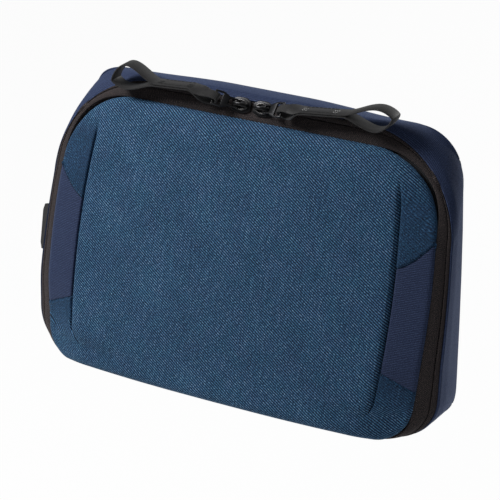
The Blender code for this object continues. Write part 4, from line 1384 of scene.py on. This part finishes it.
def shell_padding():
    """Foam of the gusset and the back, inside the fabric."""
    rings = [BACK_EDGE.inset(d) for d in (2.1, 3.3)]
    seam_rings = [SHELL_SEAM.inset(d) for d in (2.1, 3.3)]
    outer, inner = [
        loft(seam.ring(), sunk(back.ring()), np.linspace(0.14, 0.84, 12)) for seam, back in zip(seam_rings, rings)
    ]
    coords = np.stack(np.broadcast_arrays(RING_LENGTH[None], np.linspace(0.0, 28.0, 12)[:, None]), axis=-1)
    verts, faces, uv = sheet_data(outer, inner, coords, wrap=True)
    mesh_piece("gusset_foam_pad", verts, faces, "padding_foam", "rear_shell", ["gusset_foam"], uv)
    low, high = node_low("rear_foam"), node_high("rear_foam")
    flat_pad("rear_foam_pad", BACK_EDGE.inset(2.4), low[1], high[1], 1.0, "padding_foam", ["rear_foam"])


def flat_pad(name, outline, front_y, back_y, bevel, slot, replaces, body="rear_shell"):
    """A flat layer with rounded edges that fills an outline between two planes of y."""
    x, z = panel_grid(outline, PANEL_COLUMNS, PANEL_ROWS)
    depth = edge_distance(outline, x, z)
    thin = (1.0 - rolled(depth, bevel)) * (back_y - front_y) * 0.4
    outer = sunk(np.stack([x, front_y + thin, z], axis=-1))
    inner = sunk(np.stack([x, back_y - thin, z], axis=-1))
    coords = np.stack([x, z], axis=-1)
    verts, faces, uv = sheet_data(outer, inner, coords)
    return mesh_piece(name, verts, faces, slot, body, replaces, uv)


def shell_lining():
    """Lining of the wall and the floor, with a bound rim under the zip tape."""
    low, high = node_low("rear_lining"), node_high("rear_lining")
    run = BACK_Y - SHELL_SEAM.y_bottom
    stop = (high[1] - SHELL_SEAM.y_bottom) / run
    steps = mix(0.055, stop, spaced((0.0, 0.1, 4), (0.1, 0.9, 12), (0.9, 1.0, 5)))
    inset_of = mix(1.7, 5.2, smooth((steps - 0.055) / 0.14))
    rows = []
    for f, inset in zip(steps, inset_of):
        near, far = SHELL_SEAM.inset(inset).ring(), sunk(BACK_EDGE.inset(inset).ring())
        rows.append(mix(near, far, f))
    outer = np.array(rows)
    across = unit(outer[-1] - outer[0])
    inward = inward_of(outer[0], across)
    slack = (0.35 * rumple(outer, 34.0, 41) + 0.3) * np.sin(math.pi * (steps - steps[0]) / (stop - steps[0]))[:, None]
    outer = outer + inward[None] * slack[..., None]
    coords = np.stack(np.broadcast_arrays(RING_LENGTH[None], steps[:, None] * run), axis=-1)
    thickness = 0.6
    sheet_piece(
        "shell_lining_wall", outer, thickness, coords, "lining_cloth", "rear_shell", [], wrap=True, flip=-BAND
    )
    floor = BACK_EDGE.inset(5.0)
    flat_pad("shell_lining_floor", floor, high[1] - 0.9, high[1] - 0.1, 0.6, "lining_cloth", ["rear_lining"])
    rim = outer[0] + inward * 0.1
    binding("shell_rim_binding", rim, unit(outer[2] - outer[0]), 3.6, "rear_shell")


def binding(name, ring, across, width, body, closed=True):
    """Narrow grosgrain laid over a raw edge."""
    ribbon_piece(name, ring + across * width * 0.35, across, width, 0.9, "elastic_band", body, closed=closed)


def organizer_board():
    """Stiffened board with a bound edge that carries the loops and the pocket."""
    low, high = node_low("organizer_panel"), node_high("organizer_panel")
    outline = BACK_EDGE.inset(16.0)
    flat_pad("organizer_board", outline, low[1], high[1], 0.5, "lining_cloth", ["organizer_panel"])
    edge = outline.inset(0.4).ring()
    edge[:, 1] = low[1] + 0.2
    inward = unit((CASE_MIDDLE - edge) * [1.0, 0.0, 1.0])
    binding("organizer_board_binding", edge, inward, 4.0, "rear_shell")


LOOP_COUNT = 6
LOOP_FLAT = 6.0


def elastic_loops(node):
    """Wide elastic stitched down at intervals so that it stands up in a row of cable loops."""
    low, high = node_low(node), node_high(node)
    thickness = 1.1
    flat_y = high[1] - thickness / 2.0
    pitch = (high[0] - low[0] - LOOP_FLAT) / LOOP_COUNT
    arch = (pitch - LOOP_FLAT) / 2.0
    rise = flat_y - low[1] - thickness / 2.0
    start = low[0] + LOOP_FLAT / 2.0
    path = [(low[0], flat_y)]
    for n in range(LOOP_COUNT):
        centre = start + (n + 0.5) * pitch
        for a in np.linspace(0.0, math.pi, 21):
            path.append((centre - (arch + 0.9) * math.cos(a), flat_y - rise * math.sin(a) ** 0.8))
    path.append((high[0], flat_y))
    middle = (low[2] + high[2]) / 2.0
    path = np.array([(x, y, middle) for x, y in path])
    across = np.tile([0.0, 0.0, 1.0], (len(path), 1))
    width = high[2] - low[2]
    ribbon_piece(node + "_band", path, across, width, thickness, "elastic_band", "rear_shell", [node])
    tacks = []
    for n in range(LOOP_COUNT + 1):
        x = start + n * pitch
        x += LOOP_FLAT / 4.0 * (n == 0) - LOOP_FLAT / 4.0 * (n == LOOP_COUNT)
        for shift in (-0.8, 0.8):
            run = np.linspace(low[2] + 1.0, high[2] - 1.0, 40)
            row = np.column_stack([np.full(40, x + shift), np.full(40, flat_y - thickness / 2.0), run])
            tacks += stitch_data(row, np.tile([0.0, -1.0, 0.0], (40, 1)), 2.0, 0.7, 0.2)
    verts, faces = joined(tacks)
    mesh_piece(node + "_tacks", verts, faces, "pull_webbing", "rear_shell")


def slip_pocket():
    """Flat pocket under the loops, a little slack, with a bound mouth."""
    low, high = node_low("slip_pocket"), node_high("slip_pocket")
    x, z = np.meshgrid(np.linspace(low[0], high[0], 70), np.linspace(low[2], high[2], 22))
    across = (x - low[0]) / (high[0] - low[0])
    up = (z - low[2]) / (high[2] - low[2])
    slack = 1.5 * np.sin(math.pi * across) ** 0.5 * up**0.7
    outer = np.stack([x, low[1] - slack - 0.1 * rumple(np.stack([x, x * 0, z], -1), 25.0, 51), z], axis=-1)
    coords = np.stack([x, z], axis=-1)
    sheet_piece("slip_pocket_cloth", outer, 0.6, coords, "lining_cloth", "rear_shell", ["slip_pocket"], flip=FRONT)
    mouth = outer[-1] + [0.0, 0.1, -0.4]
    up_direction = np.tile([0.0, 0.0, 1.0], (len(mouth), 1))
    ribbon_piece(
        "slip_pocket_mouth", mouth, up_direction, 4.0, 1.3, "elastic_band", "rear_shell", ["slip_pocket_binding"]
    )
    seams = []
    sides = [np.column_stack([np.full(20, s), np.full(20, low[1]), np.linspace(low[2], high[2], 20)]) for s in (low[0] + 2.0, high[0] - 2.0)]
    foot = np.column_stack([np.linspace(low[0] + 2.0, high[0] - 2.0, 60), np.full(60, low[1]), np.full(60, low[2] + 2.0)])
    for row in [*sides, foot]:
        seams += stitch_data(row - [0.0, 0.1, 0.0], np.tile([0.0, -1.0, 0.0], (len(row), 1)), 2.2, 0.8, 0.18)
    verts, faces = joined(seams)
    mesh_piece("slip_pocket_seams", verts, faces, "coil_nylon", "rear_shell")


LAYER_COLUMNS = mirrored(spaced((0.0, 0.8, 24), (0.8, 1.0, 12)))
LAYER_ROWS = spaced((0.0, 0.1, 9), (0.1, 0.85, 28), (0.85, 1.0, 11))


def behind_cover(x, z, depth):
    """Points a depth behind the cover's seam plane that follow its padding."""
    return np.stack([x, COVER_SEAM.seam_y(x, z) - cover_rise(x, z) + depth, z], axis=-1)


def cover_pad_layer(name, inset, near, far, slot, replaces, slack=0.0):
    """A layer behind the twill; without a near depth its front follows the twill's own inner face."""
    outline = COVER_SEAM.inset(inset)
    x, z = panel_grid(outline, LAYER_COLUMNS, LAYER_ROWS)
    depth = edge_distance(outline, x, z)
    outer = cover_cloth(x, z) + [0.0, FABRIC + 0.35, 0.0] if near is None else behind_cover(x, z, near)
    inner = behind_cover(x, z, far)
    flat = np.stack([x, x * 0.0, z], axis=-1)
    inner[..., 1] += slack * (0.6 + 0.4 * rumple(flat, 45.0, 61)) * rolled(depth, 20.0)
    inner[..., 1] -= 0.4 * (1.0 - rolled(depth, 1.5))
    coords = np.stack([x, z], axis=-1)
    verts, faces, uv = sheet_data(outer, inner, coords)
    return mesh_piece(name, verts, faces, slot, "front_cover", replaces, uv)


def cover_padding_and_lining():
    cover_pad_layer("front_foam_pad", 4.5, None, 3.1, "padding_foam", ["front_foam"])
    cover_pad_layer("front_lining_cloth", 1.6, 3.4, 4.3, "lining_cloth", ["front_lining"], slack=0.5)
    edge = COVER_SEAM.inset(1.7).ring()
    edge[:, 1] += 3.4
    inward = unit((CASE_MIDDLE - edge) * [1.0, 0.0, 1.0])
    binding("cover_rim_binding", edge, inward, 3.6, "front_cover")


def mesh_pocket():
    """Knotted net pocket on the inside of the cover, bound round its edge."""
    low, high = node_low("mesh_pocket"), node_high("mesh_pocket")
    top = node_high("mesh_pocket_binding")[2]
    half = high[0] - 2.0
    cell = 3.4
    columns = int(2.0 * half / cell)
    rows = int((top - low[2] - 4.0) / (cell * 0.5))
    bm = bmesh.new()
    grid = {}
    for j in range(rows + 1):
        for i in range(columns + 1):
            x = -half + (i + 0.5 * (j % 2)) * cell
            z = low[2] + 1.0 + j * cell * 0.5
            if abs(x) <= half:
                grid[i, j] = bm.verts.new(pocket_point(x, z, low[2], top))
    for (i, j), vert in grid.items():
        for step in (0, 1 if j % 2 else -1):
            other = grid.get((i + step, j + 1))
            if other:
                bm.edges.new((vert, other))
    parts = []
    for edge in bm.edges:
        a, b = (np.array(v.co) for v in edge.verts)
        parts.append(tube_data(np.array([a, b]), 0.24, 5))
    bm.free()
    verts, faces = joined(parts)
    mesh_piece("mesh_pocket_net", verts, faces, "pocket_mesh", "front_cover", ["mesh_pocket"])
    corners = [(-half, low[2] + 1.0), (half, low[2] + 1.0), (half, top - 2.0), (-half, top - 2.0)]
    outline = rounded_polygon(corners, 6.0, 8)
    closed = np.vstack([outline, outline[:1]])
    distance = arc_length(np.column_stack([closed, np.zeros(len(closed))]))
    at = np.arange(0.0, distance[-1], 2.5)
    ring = [np.interp(at, distance, closed[:, k]) for k in (0, 1)]
    path = np.array([pocket_point(x, z, low[2], top) for x, z in zip(*ring)])
    inward = unit((np.array([0.0, 0.0, (low[2] + top) / 2.0]) - path) * [1.0, 0.0, 1.0])
    ribbon_piece(
        "mesh_pocket_edge", path, inward, 4.0, 1.0, "elastic_band", "front_cover", ["mesh_pocket_binding"], closed=True
    )


def pocket_point(x, z, low_z, top_z):
    """A point of the net: on the lining at its edge, a little slack towards its mouth."""
    up = clamp((z - low_z) / (top_z - low_z))
    slack = 2.2 * float(up**1.5)
    point = behind_cover(np.array(x), np.array(z), 5.6 + slack)
    return point


# ---------------------------------------------------------------- stage, light and camera

CAMERA_AZIMUTH = math.radians(28.9)
CAMERA_ELEVATION = math.radians(20.21)
CAMERA_ROLL = math.radians(2.14)
CAMERA_DISTANCE = 1183.9
CAMERA_LENS = 164.8
CAMERA_AIM = (3.9, 0.0, 76.4)

SURROUND = 0.2
KEY_PLACE = (-0.42, -0.34, 0.60)
KEY_POWER = 5.4
RIM_PLACE = (0.7, 1.9, 0.8)
RIM_POWER = 20.0


def camera():
    """A long lens from the right and above, as products are shot."""
    data = bpy.data.cameras.new("camera")
    data.sensor_width = 36.0
    data.lens = CAMERA_LENS
    data.clip_end = 50.0
    view = bpy.data.objects.new("camera", data)
    bpy.context.scene.collection.objects.link(view)
    back = Vector(
        (
            math.sin(CAMERA_AZIMUTH) * math.cos(CAMERA_ELEVATION),
            -math.cos(CAMERA_AZIMUTH) * math.cos(CAMERA_ELEVATION),
            math.sin(CAMERA_ELEVATION),
        )
    )
    view.location = (Vector(CAMERA_AIM) + back * CAMERA_DISTANCE) * MM
    aim = (-back).to_track_quat("-Z", "Y").to_matrix().to_4x4()
    roll = Matrix.Rotation(CAMERA_ROLL, 4, "Z")
    view.matrix_world = Matrix.Translation(view.location) @ aim @ roll
    bpy.context.scene.camera = view


def pale(name, level):
    made = bpy.data.materials.new(name)
    made.use_nodes = True
    shader = made.node_tree.nodes["Principled BSDF"]
    shader.inputs["Base Color"].default_value = (level, level, level, 1.0)
    shader.inputs["Roughness"].default_value = 0.9
    shader.inputs["Specular IOR Level"].default_value = 0.1
    tree = made.node_tree
    seen_white(tree, shader.outputs[0], tree.nodes["Material Output"].inputs["Surface"], 0.95)
    return made


def floor():
    """A wide pale floor, low enough that the cover can hang open above it."""
    reach = COVER_TOP - HINGE[2] + CROWN_BOTTOM
    height = (HINGE[2] - reach - 12.0) * MM
    half = 12.0
    mesh = bpy.data.meshes.new("floor")
    corners = [(-half, -half), (half, -half), (half, half), (-half, half)]
    mesh.from_pydata([(x, y, height) for x, y in corners], [], [(0, 1, 2, 3)])
    mesh.materials.append(pale("floor_white", 0.93))
    link_object("floor", mesh)


def area_light(name, place, size, power, aim=(0.0, 0.0, 0.075)):
    data = bpy.data.lights.new(name, "AREA")
    data.shape = "DISK"
    data.size = size
    data.energy = power
    lamp = bpy.data.objects.new(name, data)
    bpy.context.scene.collection.objects.link(lamp)
    lamp.location = place
    lamp.rotation_euler = (Vector(aim) - Vector(place)).to_track_quat("-Z", "Y").to_euler()


def seen_white(tree, shader_output, surface_output, share):
    """Mixes plain white, as the camera sees it, over a surface that lights the scene as itself."""
    white = tree.nodes.new("ShaderNodeEmission")
    path = tree.nodes.new("ShaderNodeLightPath")
    scaled = tree.nodes.new("ShaderNodeMath")
    scaled.operation = "MULTIPLY"
    scaled.inputs[1].default_value = share
    mixed = tree.nodes.new("ShaderNodeMixShader")
    tree.links.new(path.outputs["Is Camera Ray"], scaled.inputs[0])
    tree.links.new(scaled.outputs[0], mixed.inputs[0])
    tree.links.new(shader_output, mixed.inputs[1])
    tree.links.new(white.outputs[0], mixed.inputs[2])
    tree.links.new(mixed.outputs[0], surface_output)


def lights():
    """A dim surround seen as white, a close key from the left and above, and a rim from behind on the right."""
    world = bpy.data.worlds.new("studio")
    world.use_nodes = True
    tree = world.node_tree
    surround = tree.nodes["Background"]
    surround.inputs["Color"].default_value = (0.92, 0.96, 1.0, 1.0)
    surround.inputs["Strength"].default_value = SURROUND
    seen_white(tree, surround.outputs[0], tree.nodes["World Output"].inputs["Surface"], 1.0)
    bpy.context.scene.world = world
    area_light("key", KEY_PLACE, 0.28, KEY_POWER)
    area_light("rim", RIM_PLACE, 0.6, RIM_POWER)
    bpy.context.scene.view_settings.view_transform = "Standard"


# ---------------------------------------------------------------- assembly

# Which way a grid's normals point, so that every sheet thickens inwards
FRONT = 1.0
BAND = -1.0


def build_cover():
    front_cover_skin()
    side_patch(-1, "side_patch_left")
    side_patch(1, "side_patch_right")
    cover_padding_and_lining()
    mesh_pocket()


def build_band():
    half_gap = PARTING_GAP / 2.0
    zip_band("zip_band_front", -TO_COVER[ZIPPED] + 0.1, -half_gap, "front_cover", "front_zip_tape", flange=2.4)
    zip_band("zip_band_rear", half_gap, TO_SHELL[ZIPPED] - TAPE_COVERED - 0.3, "rear_shell", "rear_zip_tape")
    zip_coil("zip_coil_front", -1.0, "front_cover", "front_zip_coil")
    zip_coil("zip_coil_rear", 1.0, "rear_shell", "rear_zip_coil")
    end_stop("zip_end_stop_left")
    end_stop("zip_end_stop_right")
    hinge_strip()


def build_shell():
    shell_gusset()
    shell_back()
    shell_padding()
    shell_lining()
    organizer_board()
    elastic_loops("elastic_loops_upper")
    elastic_loops("elastic_loops_lower")
    slip_pocket()
    side_tab()


def build_pulls():
    left = PullShape((34.0, 59.5), 3.1, -0.07, (1.8, 3.4), (8.9, 3.9))
    right = PullShape((36.0, 63.5), 2.0, 0.12, (1.8, 3.4), (4.3, 7.2))
    for side, word, shape in ((-1, "left", left), (1, "right", right)):
        slider(side, word)
        link(side, word)
        webbing_pull(side, word, shape)


build_cover()
build_band()
build_shell()
build_pulls()
floor()
lights()
camera()
